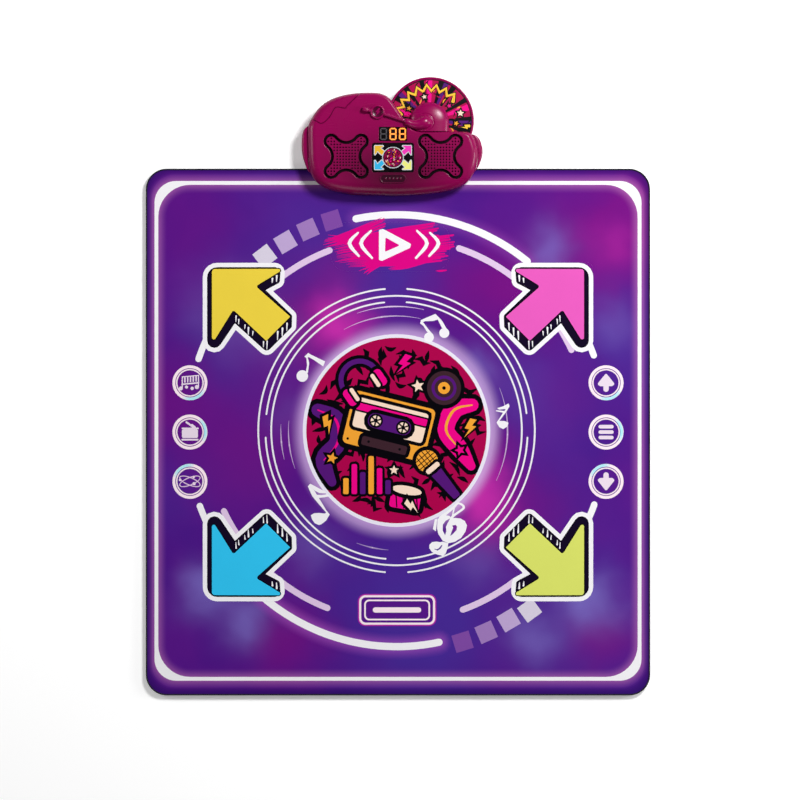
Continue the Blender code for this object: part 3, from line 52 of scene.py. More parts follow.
class Tree:
    """Adds nodes to a shader tree. An input is a value or another node's output."""

    def __init__(self, tree):
        self.tree = tree

    def put(self, value, socket):
        if isinstance(value, bpy.types.NodeSocket):
            self.tree.links.new(value, socket)
        else:
            socket.default_value = value

    def feed(self, node, **values):
        """Sets a node's inputs by name, with _ in place of a space."""
        for label, value in values.items():
            self.put(value, node.inputs[label.replace("_", " ")])
        return node

    def add(self, kind, inputs=(), **settings):
        node = self.tree.nodes.new(kind)
        for name, value in settings.items():
            setattr(node, name, value)
        for key, value in inputs.items() if isinstance(inputs, dict) else enumerate(inputs):
            self.put(value, node.inputs[key])
        return node

    def group(self, name, **values):
        """The outputs of a node group placed in this tree."""
        node = self.add("ShaderNodeGroup", node_tree=bpy.data.node_groups[name])
        return self.feed(node, **values).outputs

    def place(self):
        return self.add("ShaderNodeTexCoord").outputs["Object"]

    def math(self, operation, *values, clamp=False):
        return self.add("ShaderNodeMath", values, operation=operation, use_clamp=clamp).outputs[0]

    def vector(self, operation, *values, scale=1.0):
        node = self.add("ShaderNodeVectorMath", values, operation=operation)
        node.inputs[3].default_value = scale
        return node.outputs[0]

    def mix(self, share, first, second, blend="MIX"):
        values = {0: share, 6: first, 7: second}
        node = self.add("ShaderNodeMix", values, data_type="RGBA", blend_type=blend)
        return node.outputs[2]

    def noise(self, place, scale, detail=3.0, rough=0.5):
        values = {"Vector": place, "Scale": scale, "Detail": detail, "Roughness": rough}
        return self.add("ShaderNodeTexNoise", values).outputs[0]

    def drift(self, place, scale, detail=2.0):
        """A noise of three numbers, to stray a place by."""
        values = {"Vector": place, "Scale": scale, "Detail": detail}
        return self.add("ShaderNodeTexNoise", values).outputs[1]

    def bump(self, strength, distance, height):
        values = {"Strength": strength, "Distance": distance, "Height": height}
        return self.add("ShaderNodeBump", values).outputs[0]

    def ramp(self, value, low, high, to_low=0.0, to_high=1.0):
        values = (value, low, high, to_low, to_high)
        return self.add("ShaderNodeMapRange", values, clamp=True).outputs[0]


def shader_group(name, inputs, outputs):
    """A node group with the named sockets: its tree, its input sockets and its output node."""
    group = bpy.data.node_groups.new(name, "ShaderNodeTree")
    for label, kind in inputs:
        group.interface.new_socket(label, in_out="INPUT", socket_type=kind)
    for label, kind in outputs:
        group.interface.new_socket(label, in_out="OUTPUT", socket_type=kind)
    tree = Tree(group)
    start = group.nodes.new("NodeGroupInput").outputs
    return tree, start, group.nodes.new("NodeGroupOutput")


def rgb(red, green, blue):
    """An sRGB colour, each part from 0 to 255, as the shaders' linear one."""
    parts = []
    for part in (red, green, blue):
        part /= 255
        parts.append(part / 12.92 if part <= 0.04045 else ((part + 0.055) / 1.055) ** 2.4)
    return (*parts, 1.0)


def new_material(name, **values):
    """A material, its tree and its Principled shader with the given inputs set."""
    material = bpy.data.materials.new(name)
    material.use_nodes = True
    tree = Tree(material.node_tree)
    shader = material.node_tree.nodes["Principled BSDF"]
    return material, tree, tree.feed(shader, **values)


# Plain weave with slubs and worn spots: a shade to multiply by, and a normal
FLOAT = "NodeSocketFloat"
VECTOR = "NodeSocketVector"
COLOUR = "NodeSocketColor"
tree, start, end = shader_group(
    "woven_cloth", [("Pitch", FLOAT), ("Relief", FLOAT)], [("Shade", FLOAT), ("Normal", VECTOR)]
)
place = tree.place()
strayed = tree.vector("ADD", place, tree.vector("SCALE", tree.drift(place, 90.0), scale=0.0004))
split = tree.add("ShaderNodeSeparateXYZ", (strayed,)).outputs
turn = tree.math("DIVIDE", math.pi, start["Pitch"])
over = tree.math("SINE", tree.math("MULTIPLY", split[0], turn))
under = tree.math("SINE", tree.math("MULTIPLY", split[1], turn))
threads = tree.math("MULTIPLY_ADD", tree.math("MULTIPLY", over, under), 0.5, 0.5)
slubs = tree.noise(place, 1400.0, 2.0)
wear = tree.noise(place, 22.0, 5.0, 0.62)
height = tree.math("MULTIPLY_ADD", slubs, 0.6, threads)
shade = tree.math("MULTIPLY_ADD", threads, 0.10, 0.90)
shade = tree.math("MULTIPLY_ADD", tree.math("SUBTRACT", slubs, 0.5), 0.16, shade)
shade = tree.math("MULTIPLY_ADD", tree.math("SUBTRACT", wear, 0.5), 0.10, shade)
tree.feed(end, Shade=shade, Normal=tree.bump(0.35, start["Relief"], height))


def cloth_material(name, colour, roughness=0.85, pitch=0.0006):
    material, tree, shader = new_material(name, Roughness=roughness, Specular_IOR_Level=0.25)
    weave = tree.group("woven_cloth", Pitch=pitch, Relief=0.0001)
    tint = tree.mix(1.0, colour, weave["Shade"], "MULTIPLY")
    tree.feed(shader, Base_Color=tint, Normal=weave["Normal"], Sheen_Weight=0.08)
    return material


def spoke(x, y, radius, angle):
    """The point at a radius round a middle, at an angle in degrees."""
    turn = math.radians(angle)
    return x + radius * math.cos(turn), y + radius * math.sin(turn)


def arc(x, y, radius, first, last, count=24):
    """Points on an arc, from one angle to another in degrees."""
    return [spoke(x, y, radius, first + (last - first) * i / count) for i in range(count + 1)]


def circle(x, y, radius, count=48):
    return arc(x, y, radius, 0, 360, count)[:-1]


def round_corners(points, radius, steps=6):
    """A polygon with an arc in place of each corner. radius is one number or one for each."""
    loop = []
    for i, corner in enumerate(points):
        size = radius[i] if isinstance(radius, (list, tuple)) else radius
        here = Vector(corner)
        back = (Vector(points[i - 1]) - here).normalized()
        ahead = (Vector(points[(i + 1) % len(points)]) - here).normalized()
        half = back.angle(ahead) / 2
        middle = here + (back + ahead).normalized() * size / math.sin(half)
        first = (here + back * size / math.tan(half) - middle).normalized()
        last = (here + ahead * size / math.tan(half) - middle).normalized()
        for step in range(steps + 1):
            loop.append(tuple(middle + first.slerp(last, step / steps) * size))
    return loop


def rounded_box(width, length, corner, x=0.0, y=0.0, steps=10):
    w, h = width / 2, length / 2
    corners = [(x - w, y - h), (x + w, y - h), (x + w, y + h), (x - w, y + h)]
    return round_corners(corners, corner, steps)


def grown(loop, by):
    """A loop, anticlockwise, with its sides moved out."""
    moved = []
    for i, point in enumerate(loop):
        here = Vector(point[:2])
        back = (here - Vector(loop[i - 1][:2])).normalized()
        ahead = (Vector(loop[(i + 1) % len(loop)][:2]) - here).normalized()
        out = Vector((back.y + ahead.y, -back.x - ahead.x)).normalized()
        reach = by / max(out.dot(Vector((back.y, -back.x))), 0.5)
        moved.append((here.x + out.x * reach, here.y + out.y * reach))
    return moved


def placed(loop, x=0.0, y=0.0, turn=0.0, size=1.0):
    """A loop made larger, turned by an angle in degrees and moved."""
    c, s = spoke(0, 0, 1, turn)
    return [(x + size * (px * c - py * s), y + size * (px * s + py * c)) for px, py in loop]


def anticlockwise(loop):
    area = sum(a[0] * b[1] - b[0] * a[1] for a, b in zip(loop, loop[1:] + loop[:1]))
    return loop if area > 0 else loop[::-1]


PRINT_GRAIN = 4e-6
MERGE_GAP = 2e-6


def cut_flat(regions, shapes=()):
    """Cuts flat regions along the outlines of printed shapes, the last shape on top.

    regions maps a name to its outline and holes. Each shape is a colour with its cover, its
    outlines and its cut-outs. Returns the points and, by name, the triangles and their ink.
    """
    points = []
    loops = []

    def add(loop):
        first = len(points)
        points.extend(Vector(p) for p in anticlockwise(loop))
        loops.append(list(range(first, len(points))))
        return len(loops) - 1

    areas = {name: (add(outline), {add(h) for h in holes}) for name, (outline, holes) in regions.items()}
    stamps = [(colour, {add(o) for o in outlines}, {add(c) for c in cuts})
              for colour, outlines, cuts in shapes]
    found, _, triangles, _, _, sources = delaunay_2d_cdt(points, [], loops, 1, PRINT_GRAIN)
    pieces = {name: ([], []) for name in regions}
    for triangle, source in zip(triangles, sources):
        within = set(source)
        mixed = [0.0, 0.0, 0.0, 0.0]
        for colour, outlines, cuts in stamps:
            if outlines & within and not cuts & within:
                under = mixed[3] * (1 - colour[3])
                cover = colour[3] + under
                for i in range(3):
                    mixed[i] = (colour[i] * colour[3] + mixed[i] * under) / cover
                mixed[3] = cover
        for name, (outline, holes) in areas.items():
            if outline in within and not holes & within:
                pieces[name][0].append(triangle)
                pieces[name][1].append(mixed)
    return found, pieces


def flat_piece(name, points, triangles, inks, low, high, top, back):
    """A flat piece between two heights, closed all round, with its ink on the upper faces."""
    used = sorted({i for triangle in triangles for i in triangle})
    number = {old: new for new, old in enumerate(used)}
    count = len(used)
    upper = [tuple(number[i] for i in triangle) for triangle in triangles]
    edges = {(t[i], t[(i + 1) % 3]) for t in upper for i in range(3)}
    lower = [tuple(i + count for i in reversed(t)) for t in upper]
    sides = [(b, a, a + count, b + count) for a, b in edges if (b, a) not in edges]
    mesh = bpy.data.meshes.new(name)
    corners = [(*points[i], high) for i in used] + [(*points[i], low) for i in used]
    mesh.from_pydata(corners, [], upper + lower + sides)
    values = [part for colour in inks for part in colour * 3]
    values += [0.0] * (4 * (3 * len(lower) + 4 * len(sides)))
    mesh.color_attributes.new("ink", "FLOAT_COLOR", "CORNER").data.foreach_set("color", values)
    mesh.materials.append(top)
    mesh.materials.append(back)
    mesh.polygons.foreach_set("material_index", [0] * len(upper) + [1] * (len(lower) + len(sides)))
    return show(name, mesh)


def show(name, mesh):
    piece = bpy.data.objects.new(name, mesh)
    bpy.context.scene.collection.objects.link(piece)
    return piece


def flat_area(points, triangles):
    total = 0.0
    for a, b, c in triangles:
        total += (points[b] - points[a]).cross(points[c] - points[a]) / 2
    return total


BODY = "mat_and_console"
MAT_WIDTH = 0.900
MAT_LENGTH = 0.940
MAT_CORNER = 0.037
LAYER_INSET = 0.0011
COVER_LOW = 0.0085
COVER_HIGH = 0.0093
CONSOLE_X = -0.0089
CONSOLE_Y = 0.470
CLAMP_HALF = 0.0903
CLAMP_LENGTH = 0.0800
CLAMP_Y = 0.4757
layer_size = (MAT_WIDTH - 2 * LAYER_INSET, MAT_LENGTH - 2 * LAYER_INSET)
layer_loop = rounded_box(*layer_size, MAT_CORNER - LAYER_INSET)
clamp_hole = rounded_box(2 * CLAMP_HALF, CLAMP_LENGTH, 0.0043, CONSOLE_X, CLAMP_Y)
black_cloth = cloth_material("black_cloth", rgb(26, 22, 34))


def layer(name, node, material, holes, low, high):
    """One plain layer of the mat, laid on the one below it."""
    points, pieces = cut_flat({name: (layer_loop, holes)})
    triangles, inks = pieces[name]
    piece = flat_piece(name, points, triangles, inks, low, high, material, material)
    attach(piece, BODY)
    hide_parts(node)
    return piece, flat_area(points, triangles)


base, area = layer("base_sheet", "mat_base_cloth", black_cloth, [clamp_hole], low=0.0, high=0.0008)

# Foam core
# One soft white foam slab on the base cloth. It fills the binding from side to side.
foam_material, tree, shader = new_material("foam", Roughness=0.95, Specular_IOR_Level=0.1)
place = tree.place()
cells = tree.add("ShaderNodeTexVoronoi", {"Vector": place, "Scale": 900.0}).outputs["Distance"]
tint = tree.mix(tree.ramp(cells, 0.0, 0.6), rgb(214, 212, 206), rgb(240, 239, 235))
tree.feed(shader, Base_Color=tint, Normal=tree.bump(0.5, 0.0004, cells))
foam, _ = layer("foam_slab", "mat_foam_core", foam_material, [clamp_hole], low=0.0011, high=0.0051)

# Circuit films
# Two clear films with printed silver tracks, and a ribbon of the same film up to the console.
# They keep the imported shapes, which are flat, and lie loose below and above the spacer.
film_material, tree, shader = new_material("circuit_film", Roughness=0.22, Specular_IOR_Level=0.5)
place = tree.place()
spread = tree.add("ShaderNodeSeparateXYZ", (place,)).outputs
lanes = tree.math("FRACT", tree.math("MULTIPLY", spread[0], 140.0))
steps = tree.math("FRACT", tree.math("MULTIPLY", spread[1], 18.0))
tracks = tree.math("LESS_THAN", lanes, 0.22)
tracks = tree.math("MULTIPLY", tracks, tree.math("LESS_THAN", steps, 0.93))
tint = tree.mix(tree.noise(place, 8.0), rgb(196, 205, 208), rgb(214, 220, 222))
tint = tree.mix(tracks, tint, rgb(128, 132, 136))
tree.feed(shader, Base_Color=tint, Metallic=tree.math("MULTIPLY", tracks, 0.6), Transmission_Weight=0.15)


def paint(node, material):
    """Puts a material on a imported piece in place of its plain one."""
    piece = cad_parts[node]
    piece.data.materials.clear()
    piece.data.materials.append(material)


for node in ("lower_circuit_film", "upper_circuit_film", "mat_tail_ribbon"):
    paint(node, film_material)

# Spacer layer
# White foam between the films, with a hole under each zone so that the films can meet.
ARROW_POINTS = [(-0.085, 0.081), (-0.082, -0.076), (-0.064, -0.082), (-0.026, -0.036), (0.031, -0.083),
                (0.083, -0.030), (0.084, -0.009), (0.038, 0.040), (0.066, 0.080)]
ARROW_X, ARROW_Y = 0.262, 0.222
ROUND_X, ROUND_PITCH, ROUND_RADIUS = 0.3713, 0.0879, 0.03125
HOLE_MARGIN = 0.004
SEAM = 0.00006


def flipped(loop, flip_x, flip_y):
    """A loop mirrored where a factor is -1, still running the same way round."""
    return [(x * flip_x, y * flip_y) for x, y in loop][:: int(flip_x * flip_y)]


arrow = round_corners(ARROW_POINTS, 0.009)
ARROWS = {"yellow": (-1, 1), "pink": (1, 1), "blue": (-1, -1), "lime": (1, -1)}
zones = {}
for name, (side, end_y) in ARROWS.items():
    loop = placed(flipped(arrow, -side, end_y), side * ARROW_X, end_y * ARROW_Y)
    zones[f"{name}_arrow"] = (f"arrow_key_{name}", loop)
zones["start_zone"] = ("start_key", rounded_box(0.212, 0.088, 0.030, -0.0143, 0.3304))
zones["bar_zone"] = ("bar_key", rounded_box(0.1355, 0.0536, 0.0116, 0.0, -0.3177))
for side, names in ((-1, ("piano", "drum", "orbit")), (1, ("up", "menu", "down"))):
    for row, name in enumerate(names):
        middle = (side * ROUND_X, (1 - row) * ROUND_PITCH)
        zones[f"{name}_zone"] = (f"round_key_{name}", circle(*middle, ROUND_RADIUS))
wide_holes = [grown(loop, HOLE_MARGIN) for _, loop in zones.values()]
spacer, area = layer("spacer_sheet", "spacer_layer", foam_material, wide_holes, low=0.0060, high=0.0076)

# Printed cover and its twelve touch zones
# One thin smooth cloth with the print over all of it, laid on the films and held by the
# binding. Each zone is a patch of it that dips. The print is cut into the sheet's faces.
# Print sizes are in steps of a drawing grid, from the mat's middle.
GRID = 0.001786
WHITE = rgb(248, 246, 250)
NAVY = rgb(16, 4, 34)
BLACK = rgb(2, 0, 6)
CRIMSON = rgb(172, 0, 74)
HOT_PINK = rgb(238, 0, 135)
ORANGE = rgb(244, 164, 52)
CREAM = rgb(250, 222, 200)
PLUM = rgb(84, 20, 118)
LILAC = rgb(226, 200, 232)
DISC_X, DISC_Y = -1.45, 1.5
SQUEEZE = 0.973
prints = []


def ink(colour, *outlines, cover=1.0, cuts=(), size=GRID):
    """Adds a printed shape, given on the drawing grid."""
    loops = [[(x * size, y * size) for x, y in loop] for loop in outlines]
    holes = [[(x * size, y * size) for x, y in loop] for loop in cuts]
    prints.append(((*colour[:3], cover), loops, holes))


def smooth(points, steps=6):
    """A curve through the points, each a tuple of any length."""
    rows = []
    last = len(points) - 1
    for i in range(last):
        a, b, c, d = (Vector(points[min(max(i + j, 0), last)]) for j in (-1, 0, 1, 2))
        for step in range(steps):
            t = step / steps
            bend = (2 * a - 5 * b + 4 * c - d) * t**2 + (3 * b - a - 3 * c + d) * t**3
            rows.append(tuple((2 * b + (c - a) * t + bend) / 2))
    return rows + [tuple(points[-1])]


def stroke(points, width, steps=6):
    """The outline of a brush line with round ends. width is one number or one for each point."""
    widths = width if isinstance(width, (list, tuple)) else [width] * len(points)
    rows = smooth([(*point[:2], w) for point, w in zip(points, widths)], steps)
    right, left = [], []
    for i, (x, y, w) in enumerate(rows):
        back, ahead = rows[max(i - 1, 0)], rows[min(i + 1, len(rows) - 1)]
        along = Vector((ahead[0] - back[0], ahead[1] - back[1])).normalized() * w / 2
        right.append((x + along.y, y - along.x))
        left.append((x - along.y, y + along.x))
        if i == 0:
            start_angle = math.degrees(math.atan2(along.y, along.x))
    end_angle = math.degrees(math.atan2(along.y, along.x))
    tip = arc(x, y, rows[-1][2] / 2, end_angle - 90, end_angle + 90, 6)[1:-1]
    tail = arc(*rows[0][:2], rows[0][2] / 2, start_angle + 90, start_angle + 270, 6)[1:-1]
    return right + tip + left[::-1] + tail


def swept(radius, width, first, last, x=DISC_X, y=DISC_Y, squeeze=SQUEEZE):
    """A line along an arc, with round ends or, for a width from 0, a tapering one."""
    count = max(int(abs(last - first) / 2), 3)
    points = [(x + (px - x) * squeeze, py) for px, py in arc(x, y, radius, first, last, count)]
    if isinstance(width, tuple):
        width = [width[0] + (width[1] - width[0]) * i / count for i in range(count + 1)]
    return stroke(points, width, 1)


def oval(radius, x=DISC_X, y=DISC_Y, count=96):
    return [(x + (px - x) * SQUEEZE, py) for px, py in circle(x, y, radius, count)]


def ring_print(colour, x, y, radius, width, cover=1.0, count=64):
    ink(colour, circle(x, y, radius, count), cuts=[circle(x, y, radius - width, count)], cover=cover)


def border(colour, reach, cover=1.0):
    """The border line, made wider by reach on both sides."""
    out = rounded_box(486.5 + 2 * reach, 499.2 + 2 * reach, 21.5 + reach, 0, 1.2)
    into = rounded_box(479 - 2 * reach, 491.7 - 2 * reach, 32 - reach, 0, 1.2)
    ink(colour, out, cuts=[into], cover=cover)


# Soft pink glow along the white border line, and painted shade on the cloth outside it, darkest at the mat's
# edge
for step in range(9):
    border(rgb(200, 118, 190), 8.5 - step, 0.012 + 0.012 * step)
for step in range(5):
    inner = rounded_box(501 - 2.4 * step, 522 - 2.4 * step, 22, 0, 1)
    ink(rgb(34, 8, 92), rounded_box(510, 530, 20, 0, 1), cuts=[inner], cover=0.20)
border(WHITE, 0)

# Arcs around the middle, the two longest ones in a soft glow, and the row of fading squares
# at each end of those
OUTER_ARC = 215.8
LONG_ARCS = ((51.6, 101.2, 0.4), (230, 281.6, 1.0))
for step in range(7):
    for first, last, share in LONG_ARCS:
        haze = swept(OUTER_ARC, 26 - 2.6 * step, first, last, -1.2, 1.4)
        ink(rgb(186, 92, 202), haze, cover=(0.03 + 0.012 * step) * share)
for first, last, _ in LONG_ARCS:
    ink(WHITE, swept(OUTER_ARC, 7.2, first, last, -1.2, 1.4))
for first, last in ((20.4, 27), (154.6, 160.6), (200.4, 206), (334, 340)):
    ink(WHITE, swept(OUTER_ARC, 6.4, first, last, -1.2, 1.4))
for first, last in ((24.6, 71.2), (110.7, 128), (205.2, 248.6), (290, 308)):
    ink(LILAC, swept(191.4, 6.2, first, last, -0.7, 2.4, 1.0))
for radius, spans in ((128.65, ((95.6, 265), (275, 445.4))), (134.6, ((7.4, 173), (183, 357))),
                      (141.95, ((94.8, 265.2), (274.8, 445.6)))):
    for first, last in spans:
        ink(WHITE, swept(radius, 1.7, first, last), cover=0.92)
for radius, first, last, cover in ((114.5, 77.6, 118, 0.7), (124, 77, 109, 0.9), (111, 175, 200, 0.6),
                                   (118.8, 177, 194, 0.6), (114, 334, 382, 0.65), (119.6, 250, 266, 0.45)):
    for to in (first, last):
        ink(LILAC, swept(radius, (1.5, 0.3), (first + last) / 2, to), cover=cover)
SQUARE_TINTS = [(222, 214, 230), (195, 170, 215), (163, 125, 190), (130, 75, 165)]
SQUARE_ROWS = [[(-133.0, 175.6), (-112.4, 189.9), (-90, 202.3), (-66.1, 211.5)],
               [(131.5, -178), (110.5, -188), (88.1, -200), (64.5, -209.5)]]
for row in SQUARE_ROWS:
    for (x, y), tint in zip(row, SQUARE_TINTS):
        lean = math.degrees(math.atan2(y, x)) - 90
        ink(rgb(*tint), placed([(-9, -9), (9, -9), (9, 9), (-9, 9)], x, y, lean), cover=0.95)

# Round the middle: a soft lilac glow under a crimson disc, which the white ring then closes
for step in range(15):
    ink(rgb(200, 140, 222), oval(112.3 - 1.1 * step), cover=0.004 + 0.0055 * step)
for shift_x, shift_y in ((4, 3), (-2, -4)):
    for step in range(12):
        reach = oval(107 - 0.9 * step, DISC_X + shift_x, DISC_Y + shift_y)
        ink(rgb(222, 196, 240), reach, cover=0.005 + 0.0045 * step)
ink(CRIMSON, oval(95))


def outlined(colour, loop, line=3.2):
    """A filled shape with a black outline."""
    loop = anticlockwise(loop)
    ink(BLACK, grown(loop, line * 1.6))
    ink(colour, loop)


def bolt(x, y, size, turn, colour):
    shape = [(-2, 10), (5, 10), (1.5, 3), (6, 3), (-4, -11), (-0.5, -1.5), (-5.5, -1.5)]
    outlined(colour, placed(shape, x, y, turn, size), 1.8)


def star(x, y, size, turn, colour, line=1.6):
    """A star of five points, the first one at the angle turn."""
    shape = [p for i in range(5) for p in (spoke(0, 0, 1, 72 * i), spoke(0, 0, 0.45, 72 * i + 36))]
    outlined(colour, placed(shape, x, y, turn, size), line)


# Short black brush marks that fill the ground between the larger shapes
chance = random.Random(11)
for radius, count in ((81, 38), (72, 32), (58, 26), (44, 18), (30, 12)):
    for i in range(count):
        angle = 360 * (i + chance.uniform(-0.3, 0.3)) / count
        x, y = spoke(DISC_X, DISC_Y, radius + chance.uniform(-5, 3), angle)
        lean = angle + chance.choice((80, 95, 10, -20))
        reach = chance.uniform(4.6, 8.4)
        bend = chance.uniform(-3.0, 3.0)
        if i % 3 == 0:
            reach *= 1.3
            line = [(-reach, 0), (-reach / 3, bend + 2.0), (reach / 4, -2.0), (reach, bend)]
            mark = stroke(line, [1.0, 5.2, 5.4, 1.0], 1)
        else:
            mark = stroke([(-reach, 0), (0, bend), (reach, 0)], [0.9, 4.6, 0.9], 4)
        ink(BLACK, placed(mark, x, y, lean))

# Two broad ribbons with a stripe, behind a tape cassette, headphones, a microphone, a row of
# level bars and a round drum
for colour, stripe, line in ((HOT_PINK, ORANGE, [(74, 27), (56, 22), (48, 2), (61, -16), (73, -34)]),
                             (PLUM, HOT_PINK, [(-80, 22), (-62, 12), (-60, -10), (-74, -28), (-66, -50)])):
    ink(BLACK, stroke(line, [23, 28, 27, 27, 18], 5))
    ink(colour, stroke(line, [13, 18, 17, 17, 9], 5))
    ink(stripe, stroke(line[:4], [1.4, 2.6, 2.6, 1.0], 5))
DARK_BROWN = rgb(60, 34, 44)
DRUM = (-4, -62, -10)
outlined(HOT_PINK, placed(rounded_box(30, 18, 3, 12, -4, 3), *DRUM), 3.0)
outlined(CREAM, placed([(12 + 15 * px, 6 + 4.4 * py) for px, py in circle(0, 0, 1, 32)], *DRUM), 2.4)
for x in (2, 9, 16, 23):
    ink(BLACK, placed(stroke([(x, 0), (x + 3, -12)], 1.3, 1), *DRUM))
TAPE = (-9, 6, -14)
for colour, w, h, x, y, corner, line in (
    (ORANGE, 84, 54, 0, 0, 5, 2.6), (CREAM, 72, 30, 0, 6, 3, 1.6), (HOT_PINK, 72, 7, 0, 12, 1, 0.8),
    (PLUM, 44, 15, 0, 2, 7, 1.8), (DARK_BROWN, 46, 9, 0, -20, 2, 1.6),
):
    outlined(colour, placed(rounded_box(w, h, corner, x, y, 3), *TAPE), line * 1.35)
for x in (-14, 14):
    outlined(CREAM, placed(circle(x, 2, 5.2, 20), *TAPE), 1.2)
    for turn in range(6):
        tooth = placed([(-0.8, 2.2), (0.8, 2.2), (0.8, 5.4), (-0.8, 5.4)], x, 2, 60 * turn)
        ink(BLACK, placed(tooth, *TAPE))
    ink(BLACK, placed(circle(x, 2, 2.2, 12), *TAPE))
for x, y in ((-37, 22), (37, 22), (-37, -22), (37, -22), (-16, -20), (16, -20)):
    ink(BLACK, placed(circle(x, y, 1.3, 10), *TAPE))
PHONES = (-38, 52, 34)
outlined(PLUM, placed(stroke(arc(0, 0, 19, 200, -20, 16), 5.0, 1), *PHONES), 2.2)
for side in (-1, 1):
    outlined(HOT_PINK, placed(rounded_box(9, 18, 4, side * 18, -9, 3), *PHONES), 2.2)
    outlined(CREAM, placed(rounded_box(4, 15, 1.8, side * 12.6, -9, 3), *PHONES), 1.4)
MIC = (40, -42, 40)
outlined(PLUM, placed(round_corners([(-4, -30), (4, -30), (6.5, 8), (-6.5, 8)], 2, 3), *MIC), 2.2)
outlined(ORANGE, placed(circle(0, 17, 11, 28), *MIC), 2.4)
for shift in (-6, -2, 2, 6):
    reach = math.sqrt(110 - shift**2)
    ink(BLACK, placed(stroke([(shift, 17 - reach), (shift, 17 + reach)], 0.9, 1), *MIC))
    ink(BLACK, placed(stroke([(-reach, 17 + shift), (reach, 17 + shift)], 0.9, 1), *MIC))
outlined(CREAM, placed(rounded_box(16, 5, 2, 0, 8, 3), *MIC), 1.8)
for i, level in enumerate((16, 30, 22, 38, 26, 14)):
    x = -52 + 8.4 * i
    outlined((ORANGE, HOT_PINK, PLUM)[i % 3], rounded_box(5.4, level, 1.4, x, -62 + level / 2, 3), 1.6)
WHEEL = (46, 44)
outlined(DARK_BROWN, circle(*WHEEL, 17, 36), 2.4)
for reach, colour in ((12.5, PLUM), (9.5, DARK_BROWN), (6.0, ORANGE), (1.8, BLACK)):
    ink(colour, circle(*WHEEL, reach, 28))
for x, y, size, turn, colour in ((6, 68, 1.0, -20, HOT_PINK), (-70, 8, 0.9, 25, ORANGE),
                                 (72, 4, 0.95, -12, ORANGE), (14, -74, 0.8, 60, CREAM)):
    bolt(x, y, size, turn, colour)
for x, y, size, turn, colour in ((20, 46, 6.5, 100, CREAM), (-66, -26, 6.0, 75, ORANGE),
                                 (62, -18, 5.5, 110, HOT_PINK), (-4, -38, 5.0, 90, CREAM)):
    star(x, y, size, turn, colour)
ink(rgb(236, 232, 246), oval(96.3), cuts=[oval(92.7)])

# Music signs in loose brush lines, partly over the ring
NOTES = [
    [(-92.2, 59.5), (-90.0, 59.1), (-88.7, 69.0), (-90.0, 74.0), (-91.6, 74.4), (-90.8, 66.75)],
    [(-93.5, 75.5), (-89.7, 79.0), (-86.6, 77.1), (-72.8, 70.6), (-74.7, 65.6), (-83.9, 71.95), (-89.3, 75.0),
     (-91.2, 73.6)],
    [(37.3, 118.2), (43.96, 111.3), (48.7, 103.1), (43.96, 103.9), (39.7, 112.4)],
    [(21.9, 108.7), (23.3, 111.8), (25.9, 108.7), (31.2, 101.8), (35.5, 97.0), (31.2, 98.0), (28.6, 100.7),
     (25.4, 106.0)],
    [(22.7, 111.8), (37.3, 118.1), (39.7, 112.4), (34.9, 111.0), (27.0, 110.8), (23.3, 108.7)],
    [(99, 23.9), (104.9, 25.7), (110.5, 28.6), (111.5, 25.9), (108.4, 20.6), (101.3, 11.1), (106.4, 11.1),
     (110.5, 9.3), (109, 5.3), (105.1, 3.0), (101.3, 4.8), (98.5, 9.3), (104.9, 19.3), (98, 20.8), (98, 21.8),
     (106.4, 21.1), (107.9, 23.1), (101.3, 22.4)],
    [(-90.1, -54.3), (-87.7, -51.6), (-83.8, -57.9), (-79.8, -64.5), (-71.8, -77.8), (-68.2, -82.4),
     (-71.8, -88.4), (-76.5, -92.1), (-79.1, -92.9), (-83.1, -91.1), (-85.8, -87.4), (-87.1, -83.1),
     (-83.8, -81.1), (-79.1, -80.8), (-72.8, -81.4), (-71.8, -80.4), (-80.4, -70.5), (-85.8, -63.9)],
    [(-87.7, -51.6), (-83.1, -53.9), (-77.8, -56.9), (-71.8, -59.9), (-73.2, -61.2), (-78.5, -60.9),
     (-83.1, -58.6), (-85.1, -55.9)],
    [(-83.1, -62.5), (-76.5, -62.9), (-70.5, -62.2), (-68.5, -64.2), (-73.8, -65.2), (-79.8, -65.9)],
    circle(-95.6, 56.0, 5.8, 20),
    circle(46.2, 99.0, 5.0, 20),
    circle(30.96, 94.6, 4.9, 20),
]
ink(WHITE, *NOTES, cover=0.96)
CLEF_BODY = [(39.6, -87.4), (39.0, -96.2), (40.4, -102.1), (44.8, -108.7), (50.7, -111.0), (56.5, -109.8),
             (63.1, -105.8), (67.6, -99.1), (68.9, -93.3), (66.8, -88.9), (62.4, -86.3), (57.3, -85.8),
             (53.6, -86.3), (51.4, -83.7), (46.2, -83.0), (41.8, -84.4)]
CLEF_CUTS = [[(52.1, -86.3), (47.7, -88.5), (44.8, -92.5), (44.6, -98.4), (47.0, -103.0), (48.3, -99.1),
              (47.9, -94.7), (49.9, -90.3), (52.3, -87.4)],
             [(54.3, -93.3), (57.6, -92.7), (59.2, -94.7), (58.4, -98.0), (54.7, -102.1), (52.1, -103.7),
              (53.7, -99.1), (55.1, -95.8)]]
CLEF_HOOK = [(44.0, -109.4), (50.3, -110.8), (49.6, -116.0), (47.7, -121.2), (44.9, -123.9), (38.2, -122.1),
             (33.8, -119.7), (31.2, -116.0), (31.4, -112.7), (34.1, -110.0), (38.5, -109.4), (42.2, -110.0)]
HOOK_CUT = [(36.0, -117.0), (39.6, -118.4), (42.9, -116.2), (44.4, -113.0), (43.3, -113.0), (41.0, -115.9),
            (38.8, -117.2), (37.1, -116.6)]
